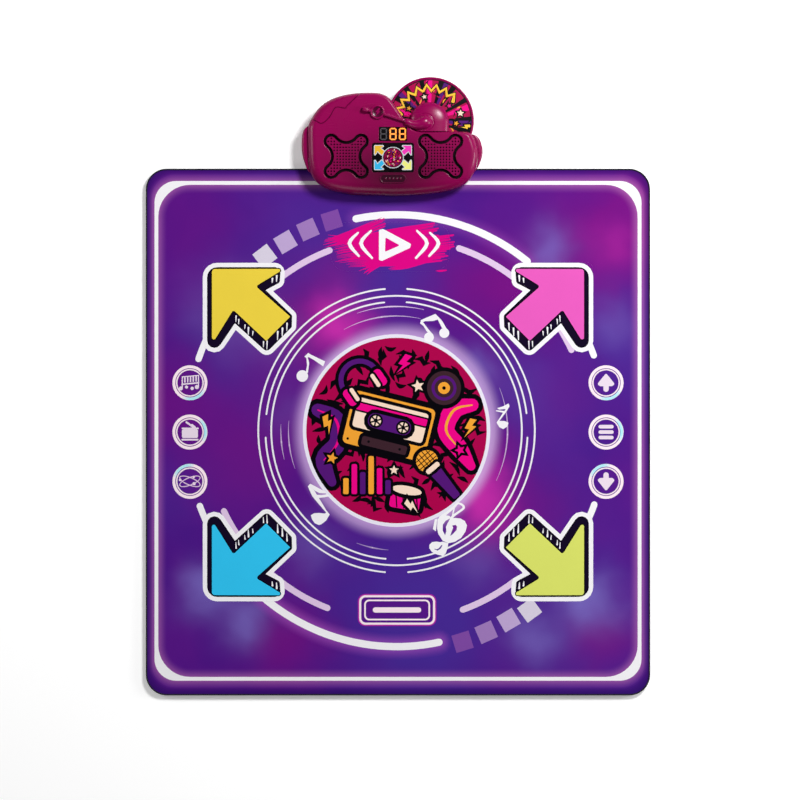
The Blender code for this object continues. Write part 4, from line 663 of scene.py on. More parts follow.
CLEF_TOP = [(42.5, -85.5, 3.2), (50, -80, 2.4), (56.5, -74.5, 2.2), (60, -71.2, 1.8), (64.5, -73, 2.2),
            (65.5, -76, 2.4), (60.5, -80, 2.2), (55, -84, 2.6), (53, -88, 3.0), (50.5, -93, 3.4)]
ink(WHITE, CLEF_BODY, cuts=CLEF_CUTS)
ink(WHITE, CLEF_HOOK, cuts=[HOOK_CUT])
ink(WHITE, [(36.7, -87.4), (39.3, -86.3), (37.8, -99.1), (34.9, -96.9)])
ink(WHITE, stroke(CLEF_TOP, [point[2] for point in CLEF_TOP], 4))
ink(WHITE, stroke([(56.8, -73.5), (55.5, -79), (54.5, -83)], [1, 1.4, 1.2], 2))

# Arrow zones: a white edge, a dark block side below the coloured face, and white hatching on it
FACE = [(-185.9, 162.9), (-185.9, 87.8), (-164.5, 122.1), (-131.7, 91.1), (-107.7, 115.3), (-142.1, 145.7),
        (-113.6, 163.1)]
FACE_CORNERS = [3.0, 1.9, 1.8, 1.3, 0.6, 2.0, 1.6]
SIDES = [(-190.7, 164.7), (-190.7, 67.5), (-162.9, 108.7), (-131.0, 79.8), (-106.1, 104.9), (-105.7, 116.6),
         (-132.3, 141.8), (-118.1, 149.3), (-117.1, 164.8)]
SIDE_CORNERS = [10, 7.3, 0.5, 4.3, 2.2, 3, 0.5, 3.5, 6]
EDGE_CORNERS = [10, 7.3, 4.95, 4.3, 2.2, 3, 4.95, 3.5, 6]
HATCH = [(-121.1, 156.1, 150.5, 1.9), (-125.4, 153.4, 149.5, 1.8), (-161.7, 116.0, 110.3, 1.4),
         (-159.0, 112.6, 108.0, 1.4), (-152.8, 107.0, 103.0, 1.3), (-149.3, 104.4, 97.7, 1.8),
         (-144.9, 100.4, 96.7, 1.4), (-134.3, 90.4, 85.1, 1.3), (-130.7, 90.8, 82.8, 1.4),
         (-120.1, 100.4, 92.1, 1.8), (-115.4, 103.7, 96.1, 1.9), (-110.8, 108.7, 101.4, 1.6)]
FACES = {"yellow": rgb(240, 212, 68), "pink": rgb(232, 92, 190), "blue": rgb(49, 198, 245),
         "lime": rgb(219, 227, 106)}
face = round_corners(FACE, FACE_CORNERS, 5)
dark_side = round_corners(SIDES, SIDE_CORNERS, 5)
for name, (side, end_y) in ARROWS.items():
    for colour, loop in ((WHITE, grown(round_corners(SIDES, EDGE_CORNERS, 5), 4.35)), (BLACK, dark_side),
                         (NAVY, grown(dark_side, -0.9)), (BLACK, grown(face, 1.0)), (FACES[name], face)):
        ink(colour, flipped(loop, -side, end_y))
    for x, high, low, width in HATCH:
        line = stroke([(x, high), (x - 0.3, low)], [width, width * 0.45], 1)
        ink(WHITE, flipped(line, -side, end_y))

# Round zones: two rings, the outer one partly cyan, round a small sign
RING_PINK = rgb(255, 236, 244)
CYAN = rgb(150, 236, 246)
SIGN_TINT = rgb(242, 226, 240)
SIGNS = {
    "piano": [stroke([(-8, 2), (-7, 6), (8.6, 7.4)], 1.0, 1), stroke([(-8, -1.5), (8.6, 0)], 1.4, 1),
              stroke([(-7.6, 6), (-7.6, -5)], 1.1, 1), stroke([(8.6, 7.4), (8.6, -3.6)], 1.1, 1),
              circle(-9, -5.6, 2, 14), circle(-3.4, -4.2, 1.6, 14), circle(2.2, -5.6, 1.7, 14),
              circle(7, -4.2, 2.1, 14)]
             + [stroke([(k, 6.4 + k * 0.09), (k, 1.2 + k * 0.09)], 1.4, 1)
                for k in (-5, -2.2, 0.6, 3.4, 6.2)],
    "drum": [rounded_box(16, 8.6, 1.4, 0, -1.6, 3), stroke([(-7.4, 3.6), (8, 3.6)], 1.7, 1),
             stroke([(-7.6, -7.6), (7.8, -7.6)], 1.7, 1), stroke([(-3.4, 9.8), (3.4, 5)], 1.9, 1),
             stroke([(2, 6.6), (4.6, 4.4)], 3.0, 1)],
    "up": [round_corners([(0, 9.8), (-8.8, -1.4), (-6, -3.4), (6, -3.4), (8.8, -1.4)], 1.5, 4),
           stroke([(0, 2), (0, -6.4)], 5.4, 1)],
    "down": [round_corners([(0, -9.8), (8.8, 1.4), (6, 3.4), (-6, 3.4), (-8.8, 1.4)], 1.5, 4),
             stroke([(0, -2), (0, 6.4)], 5.4, 1)],
    "menu": [stroke([(-5.8, k), (5.8, k)], 3.6, 1) for k in (5.4, 0, -5.4)],
    "orbit": [circle(-9.8, 1.4, 1.4, 12), circle(4.2, -2.4, 1.6, 12), circle(3.8, 4.4, 1.3, 12)],
}
for name, first in (("piano", -110), ("drum", -30), ("orbit", 80), ("up", -110), ("menu", -30), ("down", 80)):
    _, loop = zones[f"{name}_zone"]
    x = sum(p[0] for p in loop) / len(loop) / GRID
    y = sum(p[1] for p in loop) / len(loop) / GRID
    ring_print(RING_PINK, x, y, 17.5, 2.9)
    for trim, cover in ((0, 0.35), (10, 0.4), (20, 0.45)):
        ink(CYAN, swept(16.05, 2.7, first + trim, first + 80 - trim, x, y), cover=cover)
    ring_print(RING_PINK, x, y, 13.9, 1.4, cover=0.92)
    ink(SIGN_TINT, *[placed(sign, x, y) for sign in SIGNS[name]], cover=0.94)
    if name == "orbit":
        for lean in (22, -22):
            out, into = (placed([(a * wide, b * high) for a, b in circle(0, 0, 1, 36)], x, y, lean)
                         for wide, high in ((11.4, 4.2), (10.4, 3.2)))
            ink(rgb(236, 205, 232), out, cuts=[into], cover=0.9)

# Bar zone: two thin frames with a fine magenta edge over dark indigo, and a short bar
BAR_MIDDLE = (-0.85, -177.75)
ink(rgb(200, 30, 170), rounded_box(78.4, 32, 7.4, *BAR_MIDDLE), cover=0.75)
ink(rgb(50, 20, 130), rounded_box(72, 25.6, 4.6, *BAR_MIDDLE), cover=0.85)
for w, h, corner, line in ((75.9, 29.5, 6.3, 2.1), (65.8, 20.8, 5, 1.6)):
    into = rounded_box(w - 2 * line, h - 2 * line, corner - line + 0.3, *BAR_MIDDLE)
    ink(RING_PINK, rounded_box(w, h, corner, *BAR_MIDDLE), cuts=[into])
ink(RING_PINK, rounded_box(48.4, 5.3, 2.6, -1.0, -177.75, 4))

# Start zone: broad dry brush strokes in magenta with ragged ends, and a plain play sign on them
MAGENTA = rgb(222, 0, 132)
BRUSHES = [((-72, 189), (-48, 196), (-15, 210), 10, 3.5), ((-62, 184), (-10, 195), (38, 203), 14, 4),
           ((-60, 176), (0, 184), (53, 190), 15, 3.5), ((-50, 170), (0, 172), (46, 176), 11, 4),
           ((-36, 161), (-24, 167), (-6, 174), 9, 6), ((-10, 165), (8, 167), (30, 173), 7, 5),
           ((-66, 193), (-40, 190), (-20, 190), 9, 6), ((38, 161), (42, 161), (49, 161.6), 1.2, 2)]
for ax, bx, cx, width, ragged in BRUSHES:
    count = max(int(width / 1.15), 1)
    for i in range(count):
        shift = (i + 0.5) / count * width - width / 2
        first, last = chance.uniform(-ragged, ragged), chance.uniform(-ragged, ragged)
        line = [(ax[0] + first, ax[1] + shift), (bx[0], bx[1] + shift), (cx[0] + last, cx[1] + shift)]
        ink(MAGENTA, stroke(line, [0.3, 2.1, 0.3 if i % 2 else 1.4], 3))
ink(WHITE, round_corners([(-19, 172), (-16, 171), (12, 184), (13, 188), (-15, 203), (-19, 202)], 1.2, 3),
    cuts=[round_corners([(-13, 180), (2, 186.5), (-12.5, 194.5)], 0.8, 3)])
for x, size in ((19, 1.0), (32, 0.85), (-27, -1.0), (-40, -0.85)):
    reach = 13 * abs(size)
    curve = [(x, 188 + reach), (x + 10 * size, 188.5), (x - size, 187 - reach)]
    ink(WHITE, stroke(curve, [2.0, 3.8, 2.2], 4))

# The cloth's ground: violet with soft clouds of other colours, each one a place, size and strength
CLOUDS = [
    (rgb(70, 42, 150), [(0, 175, 60, 0.8), (-60, 160, 60, 0.6), (0, -165, 80, 0.8), (150, 0, 60, 0.5),
                        (170, -130, 70, 0.4), (190, -215, 60, 0.5), (-150, -30, 40, 0.3),
                        (-110, 215, 60, 0.4), (40, -215, 60, 0.6), (-165, 60, 40, 0.3),
                        (-225, -60, 40, 0.4), (235, 60, 40, 0.5), (210, 118, 40, 0.7), (142, 47, 36, 0.6)]),
    (rgb(118, 12, 128), [(-205, 215, 50, 0.3), (210, 195, 60, 0.9), (122, 142, 45, 0.9),
                         (160, 40, 40, 0.3), (-113, -208, 40, 0.7), (200, -205, 34, 0.7),
                         (-95, 110, 50, 0.7), (120, -80, 50, 0.6), (-150, -20, 60, 0.6), (60, 150, 40, 0.5),
                         (-230, 40, 40, 0.5), (96, -12, 22, 0.5), (-60, 165, 30, 0.4),
                         (236, 225, 30, 0.6)]),
    (rgb(120, 104, 190), [(150, 185, 24, 0.6), (-193, -158, 24, 0.85), (-153, -190, 22, 0.75),
                          (-170, 120, 40, 0.35), (-88, -118, 26, 0.35), (136, -205, 24, 0.6),
                          (83, -128, 26, 0.3), (192, -170, 26, 0.9), (110, 45, 30, 0.1), (-106, 20, 24, 0.15),
                          (-120, 90, 24, 0.25), (212, 112, 24, 0.3), (78, 68, 20, 0.45)]),
    (rgb(200, 45, 170), [(-63, 114, 26, 0.6), (-56, 100, 30, 0.4), (86, -73, 26, 0.6), (80, -60, 30, 0.35),
                         (84, -40, 20, 0.25), (216, 186, 24, 0.3)]),
]
spot_inputs = [("Place", VECTOR), ("Middle", VECTOR), ("Size", FLOAT), ("Strength", FLOAT)]
tree, start, end = shader_group("soft_spot", spot_inputs, [("Mask", FLOAT)])
ends = (start["Place"], start["Middle"])
gap = tree.add("ShaderNodeVectorMath", ends, operation="DISTANCE").outputs["Value"]
share = tree.math("DIVIDE", gap, start["Size"])
fall = tree.math("EXPONENT", tree.math("MULTIPLY", tree.math("MULTIPLY", share, share), -1.0))
tree.feed(end, Mask=tree.math("MULTIPLY", fall, start["Strength"]))


def printed_material(name, grid, ground, clouds, roughness=0.55):
    """A print in the "ink" attribute over a ground with soft clouds."""
    material, tree, shader = new_material(name, Roughness=roughness, Specular_IOR_Level=0.05)
    place = tree.place()
    level = tree.vector("MULTIPLY", tree.vector("SCALE", place, scale=1 / grid), (1.0, 1.0, 0.0))
    drift = tree.vector("SUBTRACT", tree.drift(level, 0.02), (0.5, 0.5, 0.5))
    drift = tree.vector("SCALE", drift, scale=42.0)
    level = tree.vector("MULTIPLY", tree.vector("ADD", level, drift), (1.0, 1.0, 0.0))
    colour = tree.mix(tree.ramp(tree.noise(level, 0.012, 2.0), 0.35, 0.65), *ground)
    for tint, spots in clouds:
        mask = 0.0
        for x, y, size, strength in spots:
            cloud = {"Place": level, "Middle": (x, y, 0.0), "Size": size, "Strength": strength}
            mask = tree.math("ADD", mask, tree.group("soft_spot", **cloud)["Mask"])
        colour = tree.mix(tree.math("MINIMUM", mask, 0.92), colour, tint)
    print_ink = tree.add("ShaderNodeAttribute", attribute_name="ink").outputs
    colour = tree.mix(print_ink["Alpha"], colour, print_ink["Color"])
    cloth = tree.group("woven_cloth", Pitch=0.0004, Relief=0.00004)
    tint = tree.mix(0.6, colour, cloth["Shade"], "MULTIPLY")
    tree.feed(shader, Base_Color=tint, Normal=cloth["Normal"])
    return material


cover_material = printed_material("printed_cloth", GRID, (rgb(74, 18, 134), rgb(88, 21, 136)), CLOUDS)
cloth_back = cloth_material("cloth_back", rgb(188, 184, 190))
regions = {"cover_sheet": (layer_loop, [grown(loop, SEAM / 2) for _, loop in zones.values()])}
for zone, (_, loop) in zones.items():
    regions[zone + "_patch"] = (grown(loop, -SEAM / 2), [])
points, pieces = cut_flat(regions, prints)
for name, (triangles, inks) in pieces.items():
    piece = flat_piece(name, points, triangles, inks, COVER_LOW, COVER_HIGH, cover_material, cloth_back)
    area = flat_area(points, triangles)
    if name == "cover_sheet":
        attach(piece, BODY)
        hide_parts("mat_top_cover")
        continue
    zone = name[: -len("_patch")]
    node, loop = zones[zone]
    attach(piece, zone)
    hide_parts(node)

# Edge binding
# A narrow black tape folded round the layers' edge, with one row of stitches. It is notched
# below where the clamp plate passes.
NOTCH_TOP = 0.0021
binding_profile = [(0.0009, 0.0), (0.0003, 0.0006), (0.0, 0.0020), (0.0, 0.0084), (0.0003, 0.0096),
                   (0.0009, 0.0103), (0.0015, 0.0104), (0.0023, 0.0103), (0.0026, 0.0100), (0.0026, 0.0096),
                   (0.0009, 0.0096), (0.0009, 0.0060)]
edge_loop = rounded_box(MAT_WIDTH, MAT_LENGTH, MAT_CORNER, steps=14)
notch = [CONSOLE_X + side * (CLAMP_HALF + gap) for side in (1, -1) for gap in (0.0001, 0.0)]
corner = max(i for i, p in enumerate(edge_loop) if p[1] > 0 and p[0] > 0)
edge_loop[corner + 1:corner + 1] = [(x, MAT_LENGTH / 2) for x in (notch[0], notch[1], notch[3], notch[2])]


def bridged(mesh, rows):
    """Joins rows of vertices with faces. Each row is a closed loop."""
    for low, high in zip(rows, rows[1:]):
        for i, vert in enumerate(low):
            j = (i + 1) % len(low)
            mesh.faces.new((vert, low[j], high[j], high[i]))


mesh = bmesh.new()
rows = []
for reach, z in binding_profile:
    row = []
    for (x, y), (ex, ey) in zip(grown(edge_loop, -reach), edge_loop):
        over_plate = ey > 0.46 and abs(ex - CONSOLE_X) < CLAMP_HALF + 0.00005
        row.append(mesh.verts.new((x, y, max(z, NOTCH_TOP) if over_plate else z)))
    rows.append(row)
bridged(mesh, rows + rows[:1])
bmesh.ops.recalc_face_normals(mesh, faces=mesh.faces)


def as_mesh(name, mesh):
    """A mesh from a bmesh, which is then freed."""
    data = bpy.data.meshes.new(name)
    mesh.to_mesh(data)
    mesh.free()
    return data


def dressed(name, data, *materials, sharp=40):
    """An object from a mesh, smooth up to an angle, riding the main body."""
    data.materials.clear()
    for material in materials:
        data.materials.append(material)
    data.shade_smooth()
    data.set_sharp_from_angle(angle=math.radians(sharp))
    piece = show(name, data)
    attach(piece, BODY)
    return piece


def finished(name, mesh, *materials, sharp=40):
    return dressed(name, as_mesh(name, mesh), *materials, sharp=sharp)


tape = cloth_material("binding_tape", rgb(17, 13, 28), 0.8, 0.0005)
binding = finished("binding_tape", mesh, tape)
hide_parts("mat_edge_binding")

# Stitches: one thread loop repeated along the tape by Geometry Nodes
STITCH_SIZE = (0.0013, 0.00022, 0.00018)
STITCH_PITCH = 0.0042
STITCH_INSET = 0.0018
STITCH_Z = 0.01045
thread, _, _ = new_material("thread", Roughness=0.7, Specular_IOR_Level=0.3, Base_Color=rgb(52, 44, 66))
mesh = bmesh.new()
bmesh.ops.create_uvsphere(mesh, u_segments=8, v_segments=5, radius=1.0)
bmesh.ops.scale(mesh, vec=STITCH_SIZE, verts=mesh.verts)
stitch = show("stitch", as_mesh("stitch", mesh))


def applied(piece):
    """The mesh of an object with its modifiers, which are then taken off."""
    made = bpy.data.meshes.new_from_object(piece.evaluated_get(bpy.context.evaluated_depsgraph_get()))
    piece.modifiers.clear()
    return made


def repeated(name, points, unit, material, pitch=None):
    """A mesh repeated along a closed line of points, or once at each point."""
    line = bpy.data.meshes.new(name)
    count = len(points)
    edges = [(i, (i + 1) % count) for i in range(count)] if pitch else []
    line.from_pydata(points, edges, [])
    piece = show(name, line)
    group = bpy.data.node_groups.new(name, "GeometryNodeTree")
    socket = group.interface.new_socket
    socket("Geometry", in_out="INPUT", socket_type="NodeSocketGeometry")
    unit_input = socket("Unit", in_out="INPUT", socket_type="NodeSocketObject")
    spacing = socket("Pitch", in_out="INPUT", socket_type=FLOAT)
    socket("Geometry", in_out="OUTPUT", socket_type="NodeSocketGeometry")
    new, link = group.nodes.new, group.links.new
    start, end = new("NodeGroupInput"), new("NodeGroupOutput")
    info, place = new("GeometryNodeObjectInfo"), new("GeometryNodeInstanceOnPoints")
    realize, tint = new("GeometryNodeRealizeInstances"), new("GeometryNodeSetMaterial")
    link(start.outputs["Unit"], info.inputs["Object"])
    points_from = start.outputs["Geometry"]
    if pitch:
        curve, spread = new("GeometryNodeMeshToCurve"), new("GeometryNodeCurveToPoints")
        spread.mode = "LENGTH"
        link(points_from, curve.inputs[0])
        link(curve.outputs[0], spread.inputs["Curve"])
        link(start.outputs["Pitch"], spread.inputs["Length"])
        link(spread.outputs["Rotation"], place.inputs["Rotation"])
        points_from = spread.outputs["Points"]
    link(points_from, place.inputs["Points"])
    link(info.outputs["Geometry"], place.inputs["Instance"])
    link(place.outputs[0], realize.inputs[0])
    link(realize.outputs[0], tint.inputs["Geometry"])
    tint.inputs["Material"].default_value = material
    link(tint.outputs[0], end.inputs[0])
    run = piece.modifiers.new(name, "NODES")
    run.node_group = group
    run[unit_input.identifier] = unit
    if pitch:
        run[spacing.identifier] = pitch
    piece.data = applied(piece)
    return piece


row = [(x, y, STITCH_Z) for x, y in grown(edge_loop, -STITCH_INSET)]
stitches = repeated("binding_stitches", row, stitch, thread, STITCH_PITCH)
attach(stitches, BODY)
bpy.data.objects.remove(stitch)

# Console plastic
# Satin moulded plastic with a fine grain, darker in soft patches, with painted shade on the hood's lower
# middle below the record, and faintly scuffed. Two darker copies of it are painted shade for recesses,
# openings, the stepped line and what faces the floor.
plastic_outputs = [("Colour", COLOUR), ("Roughness", FLOAT), ("Normal", VECTOR)]
tree, start, end = shader_group("moulded_plastic", [("Colour", COLOUR)], plastic_outputs)
place = tree.place()
patches = tree.noise(place, 14.0, 3.0)
grain = tree.noise(place, 2600.0, 1.0)
scuffs = tree.ramp(tree.noise(tree.vector("MULTIPLY", place, (60.0, 420.0, 200.0)), 1.0, 4.0), 0.60, 0.75)
tint = tree.mix(tree.ramp(patches, 0.3, 0.7, 0.0, 0.08), start["Colour"], (0.004, 0.0, 0.004, 1.0))
# Painted shade: a soft dark spot over the hood's lower middle, where the light falls off
squeezed = tree.vector("MULTIPLY", place, (0.62, 1.0, 0.0))
low = tree.group("soft_spot", Place=squeezed, Size=0.066, Strength=0.72,
                 Middle=(CONSOLE_X * 0.62, CONSOLE_Y - 0.012, 0.0))
tint = tree.mix(low["Mask"], tint, (0.006, 0.0, 0.003, 1.0))
rough = tree.math("ADD", tree.ramp(patches, 0.3, 0.7, 0.24, 0.30), tree.math("MULTIPLY", scuffs, 0.08))
tree.feed(end, Colour=tint, Roughness=rough, Normal=tree.bump(0.12, 0.00003, grain))


def plastic(name, colour):
    material, tree, shader = new_material(name, Specular_IOR_Level=0.3)
    satin = tree.group("moulded_plastic", Colour=colour)
    tree.feed(shader, Base_Color=satin["Colour"], Roughness=satin["Roughness"], Normal=satin["Normal"])
    return material


maroon = plastic("maroon_plastic", rgb(148, 0, 81))
# Two copies of the plastic in painted shade: one for creases, sunk floors and parts facing the floor, a
# deeper one for the grille grooves
maroon_painted_shade = plastic("dark_maroon_plastic", rgb(84, 0, 46))
maroon_painted_deep_shade = plastic("painted_deep_shade_plastic", rgb(16, 0, 9))

# Console front shell
# A hood with a broad rounding, a stepped line across its upper left corner, and openings
# with softened edges for the grilles, the window and the lamp panel. Screwed from below.
PARTING = 0.0223
SIDE_TOP = 0.0330
FRONT_TOP = 0.0480
WALL = 0.0024
GROOVE_DEPTH = 0.0049
CONSOLE_POINTS = [
    (0.0000, -0.0489, 0.0200), (0.0571, -0.0461, 0.0200), (0.1018, -0.0393, 0.0180),
    (0.1286, -0.0277, 0.0160), (0.1438, -0.0089, 0.0140), (0.1504, 0.0125, 0.0130),
    (0.1511, 0.0321, 0.0120), (0.1452, 0.0527, 0.0120), (0.1348, 0.0632, 0.0080),
    (0.1161, 0.0646, 0.0040), (0.0839, 0.0646, 0.0035), (0.0518, 0.0645, 0.0035),
    (0.0375, 0.0673, 0.0030), (0.0286, 0.0750, 0.0030), (0.0171, 0.0904, 0.0045),
    (0.0054, 0.1080, 0.0050), (-0.0063, 0.1239, 0.0055), (-0.0207, 0.1320, 0.0060),
    (-0.0400, 0.1339, 0.0060), (-0.0666, 0.1329, 0.0070), (-0.0904, 0.1288, 0.0090),
    (-0.1111, 0.1214, 0.0110), (-0.1288, 0.1095, 0.0130), (-0.1436, 0.0904, 0.0140),
    (-0.1514, 0.0714, 0.0140), (-0.1511, 0.0339, 0.0140), (-0.1500, 0.0107, 0.0150),
    (-0.1455, -0.0107, 0.0170), (-0.1312, -0.0286, 0.0180), (-0.1036, -0.0407, 0.0190),
    (-0.0589, -0.0468, 0.0200),
]
SPAN_STEPS = 8


def at_console(loop):
    return [(p[0] + CONSOLE_X, p[1] + CONSOLE_Y, *p[2:]) for p in loop]


around = CONSOLE_POINTS[-2:] + CONSOLE_POINTS + CONSOLE_POINTS[:2]
outline = at_console(smooth(around, SPAN_STEPS)[2 * SPAN_STEPS:-2 * SPAN_STEPS - 1])
outline = outline[:len(CONSOLE_POINTS) * SPAN_STEPS]
outline_flat = [p[:2] for p in outline]


def drawn_in(share, more=0.0):
    """The outline drawn in by a share of its own rounding's width."""
    steps = grown(outline_flat, -1.0)
    loop = []
    for (x, y, width), (sx, sy) in zip(outline, steps):
        inward = Vector((sx - x, sy - y)).normalized() * (width * share + more)
        loop.append((x + inward.x, y + inward.y))
    return loop


def nearest(x, y, a, b):
    """How far a point is from the line between a and b, and the share of it up to the nearest place."""
    dx, dy = b[0] - a[0], b[1] - a[1]
    t = min(max(((x - a[0]) * dx + (y - a[1]) * dy) / (dx * dx + dy * dy), 0.0), 1.0)
    return math.hypot(x - a[0] - dx * t, y - a[1] - dy * t), t


def distance(x, y, line):
    """How far a point is from a line, and the third value of the line's nearest point."""
    best = (9.0, 0.0)
    for a, b in zip(line, line[1:]):
        gap, t = nearest(x, y, a, b)
        if gap < best[0]:
            best = (gap, a[-1] + (b[-1] - a[-1]) * t)
    return best


STEP_LINE = [(-0.0598, 0.1345), (-0.0614, 0.1295), (-0.0814, 0.1100), (-0.0860, 0.1052), (-0.1022, 0.1066),
             (-0.1125, 0.0904), (-0.1230, 0.0800), (-0.1304, 0.0787), (-0.1414, 0.0852), (-0.1490, 0.0900)]
LINE_WIDTH = 0.0026
LINE_DEPTH = 0.0018
step_line = at_console(smooth(STEP_LINE, 4))


def cross_loop(shrink, x=0.0, y=0.0, steps=10):
    """The grille's cross: four round lobes joined by hollow arcs, drawn in by shrink."""
    lobe, radius, waist = 0.0266, 0.0136, 0.0268
    middle = (2 * lobe**2 - (waist - radius) ** 2) / (2 * (lobe - waist + radius))
    lean = math.degrees(math.atan2(middle - lobe, lobe))
    loop = []
    for quarter in range(4):
        lobe_arc = arc(lobe, lobe, radius - shrink, lean - 90, 180 - lean, steps)
        waist_arc = arc(0.0, middle, middle - waist + shrink, -lean, lean - 180, steps)[1:-1]
        loop += placed(lobe_arc + waist_arc, x, y, 90 * quarter)
    return loop


ROUNDING_STEPS = ((0.13, 0.5), (0.5, 0.134), (1.0, 0.0), (1.3, 0.0))


def relief(rings, holes, base, walls):
    """A raised face over nested outlines, with openings, and side walls below its edges.

    rings are (outline, drop) from outside in. holes are (opening, rounding), and base gives a
    point's height. walls are the foot of the outer wall, then of each opening.
    """
    points, loops, drops = [], [], {}

    def add(loop, drop=0.0):
        first = len(points)
        points.extend(Vector(p) for p in anticlockwise(loop))
        loops.append(list(range(first, len(points))))
        if drop:
            drops.update(dict.fromkeys(loops[-1], drop))
        return len(loops) - 1

    outer = add(*rings[0])
    for loop, drop in rings[1:]:
        add(loop, drop)
    openings = []
    for hole, rounding in holes:
        openings.append(add(hole, rounding))
        for share, drop in ROUNDING_STEPS:
            if rounding:
                add(grown(hole, rounding * share), rounding * drop)
    found, _, faces, sources, _, within = delaunay_2d_cdt(points, [], loops, 1, MERGE_GAP)
    mesh = bmesh.new()
    verts = []
    for point, source in zip(found, sources):
        drop = max([drops.get(i, 0.0) for i in source] or [0.0])
        verts.append(mesh.verts.new((point.x, point.y, base(point.x, point.y) - drop)))
    owner = {}
    for opening in openings:
        for i in loops[opening]:
            owner[i] = opening
    of_vert = {vert: {owner[i] for i in source if i in owner} for vert, source in zip(verts, sources)}
    for face, ids in zip(faces, within):
        if outer in ids and not set(openings) & set(ids):
            mesh.faces.new([verts[i] for i in face])
    rims = [edge for edge in mesh.edges if len(edge.link_faces) == 1]
    feet = {}
    for edge in rims:
        a, b = edge.link_loops[0].vert, edge.link_loops[0].link_loop_next.vert
        shared = of_vert[a] & of_vert[b]
        foot = walls[1 + openings.index(shared.pop())] if shared else walls[0]
        for vert in (a, b):
            if vert not in feet:
                feet[vert] = mesh.verts.new((vert.co.x, vert.co.y, foot))
        mesh.faces.new((b, a, feet[a], feet[b]))
    for vert in [v for v in mesh.verts if not v.link_faces]:
        mesh.verts.remove(vert)
    return mesh


def inside(x, y, loop):
    """Whether a point is in a loop."""
    odd = False
    for a, b in zip(loop, loop[1:] + loop[:1]):
        if (a[1] > y) != (b[1] > y) and x < a[0] + (y - a[1]) * (b[0] - a[0]) / (b[1] - a[1]):
            odd = not odd
    return odd


def step_gap(x, y):
    """How far a point is from the stepped line, where that is worth measuring."""
    in_corner = x < CONSOLE_X - 0.05 and y > CONSOLE_Y + 0.07
    return distance(x, y, step_line)[0] if in_corner else 1.0


def hood(x, y):
    """The height of the hood's surface."""
    gap, width = distance(x, y, outline + outline[:1])
    share = 1 - min(gap / width, 1.0)
    z = SIDE_TOP + (FRONT_TOP - SIDE_TOP) * math.sqrt(max(1 - share * share, 0.0))
    near = step_gap(x, y)
    return z - LINE_DEPTH * max(1 - near / (LINE_WIDTH / 2), 0.0)


SPEAKERS = [CONSOLE_X + 0.0007 + side * 0.0838 for side in (-1, 1)]
SPEAKER_Y = CONSOLE_Y + 0.0200
WINDOW_Y = CONSOLE_Y + 0.0596
LAMPS_Y = CONSOLE_Y + 0.0177
window_loop = rounded_box(0.0496, 0.0245, 0.0008, CONSOLE_X, WINDOW_Y, 3)
panel_loop = rounded_box(0.0739, 0.0518, 0.0036, CONSOLE_X, LAMPS_Y, 6)
rings = [drawn_in(1 - math.cos(math.radians(turn))) for turn in range(0, 91, 6)]
rings += [drawn_in(1.0, more) for more in (0.0008, 0.0030)]
rings += [stroke(step_line, LINE_WIDTH + extra, 1) for extra in (0.0008, 0.0, -0.0009, -0.0017)]
holes = [(cross_loop(0.0, x, SPEAKER_Y), 0.0009) for x in SPEAKERS]
holes += [(grown(window_loop, 0.0003), 0.0004), (grown(panel_loop, 0.0003), 0.0005)]
walls = [PARTING] + [FRONT_TOP - GROOVE_DEPTH] * 2 + [FRONT_TOP - WALL] * 2
mesh = relief([(loop, 0.0) for loop in rings], holes, hood, walls)
hood_piece = show("front_hood", as_mesh("front_hood", mesh))
skin = hood_piece.modifiers.new("wall", "SOLIDIFY")
skin.thickness = WALL
skin.offset = -1.0
front = dressed("front_hood_shell", applied(hood_piece), maroon, maroon_painted_deep_shade, maroon_painted_shade)
bpy.data.objects.remove(hood_piece)
# Painted shade: the sunk faces round each grille opening take the deep shade colour, and the faces in the
# stepped line take the shade colour
for face in front.data.polygons:
    x, y, z = face.center
    speaker = min(SPEAKERS, key=lambda middle: abs(x - middle))
    in_painted_shade = z < FRONT_TOP - 0.0004 and face.normal.z > -0.1
    if in_painted_shade and inside(x, y, cross_loop(-0.0012, speaker, SPEAKER_Y)):
        face.material_index = 1
    elif z > SIDE_TOP and step_gap(x, y) < 0.0005:
        face.material_index = 2
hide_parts("console_front_shell")

# Console rear shell
# The tray that the hood closes, with the record's round lobe, the cell bay and the screw
# bosses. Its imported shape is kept, with the outline and lobe made finer.
LOBE = (CONSOLE_X + 0.0664, CONSOLE_Y + 0.0843, 0.0762)
COARSE_STEP = 4
NEAR_OUTLINE = 0.0052
LOBE_SIDES = 28
coarse = outline_flat[::COARSE_STEP]


def finer(x, y):
    """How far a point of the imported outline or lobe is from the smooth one."""
    best = (9.0, 0, 0.0)
    for i, a in enumerate(coarse):
        gap, t = nearest(x, y, a, coarse[(i + 1) % len(coarse)])
        if gap < best[0]:
            best = (gap, i, t)
    gap, i, t = best
    if gap < NEAR_OUTLINE:
        a, b = coarse[i], coarse[(i + 1) % len(coarse)]
        step = min(int(t * COARSE_STEP), COARSE_STEP - 1)
        first = i * COARSE_STEP + step
        here, ahead = outline_flat[first], outline_flat[(first + 1) % len(outline_flat)]
        part = t * COARSE_STEP - step
        return Vector((here[0] + (ahead[0] - here[0]) * part - a[0] - (b[0] - a[0]) * t,
                       here[1] + (ahead[1] - here[1]) * part - a[1] - (b[1] - a[1]) * t, 0.0))
    out = Vector((x - LOBE[0], y - LOBE[1], 0.0))
    if LOBE[2] - 0.0044 < out.length < LOBE[2] + 0.0002:
        side = math.pi / LOBE_SIDES
        turn = math.atan2(out.y, out.x) % (2 * side)
        return out * (math.cos(turn - side) / math.cos(side) - 1)
    return None


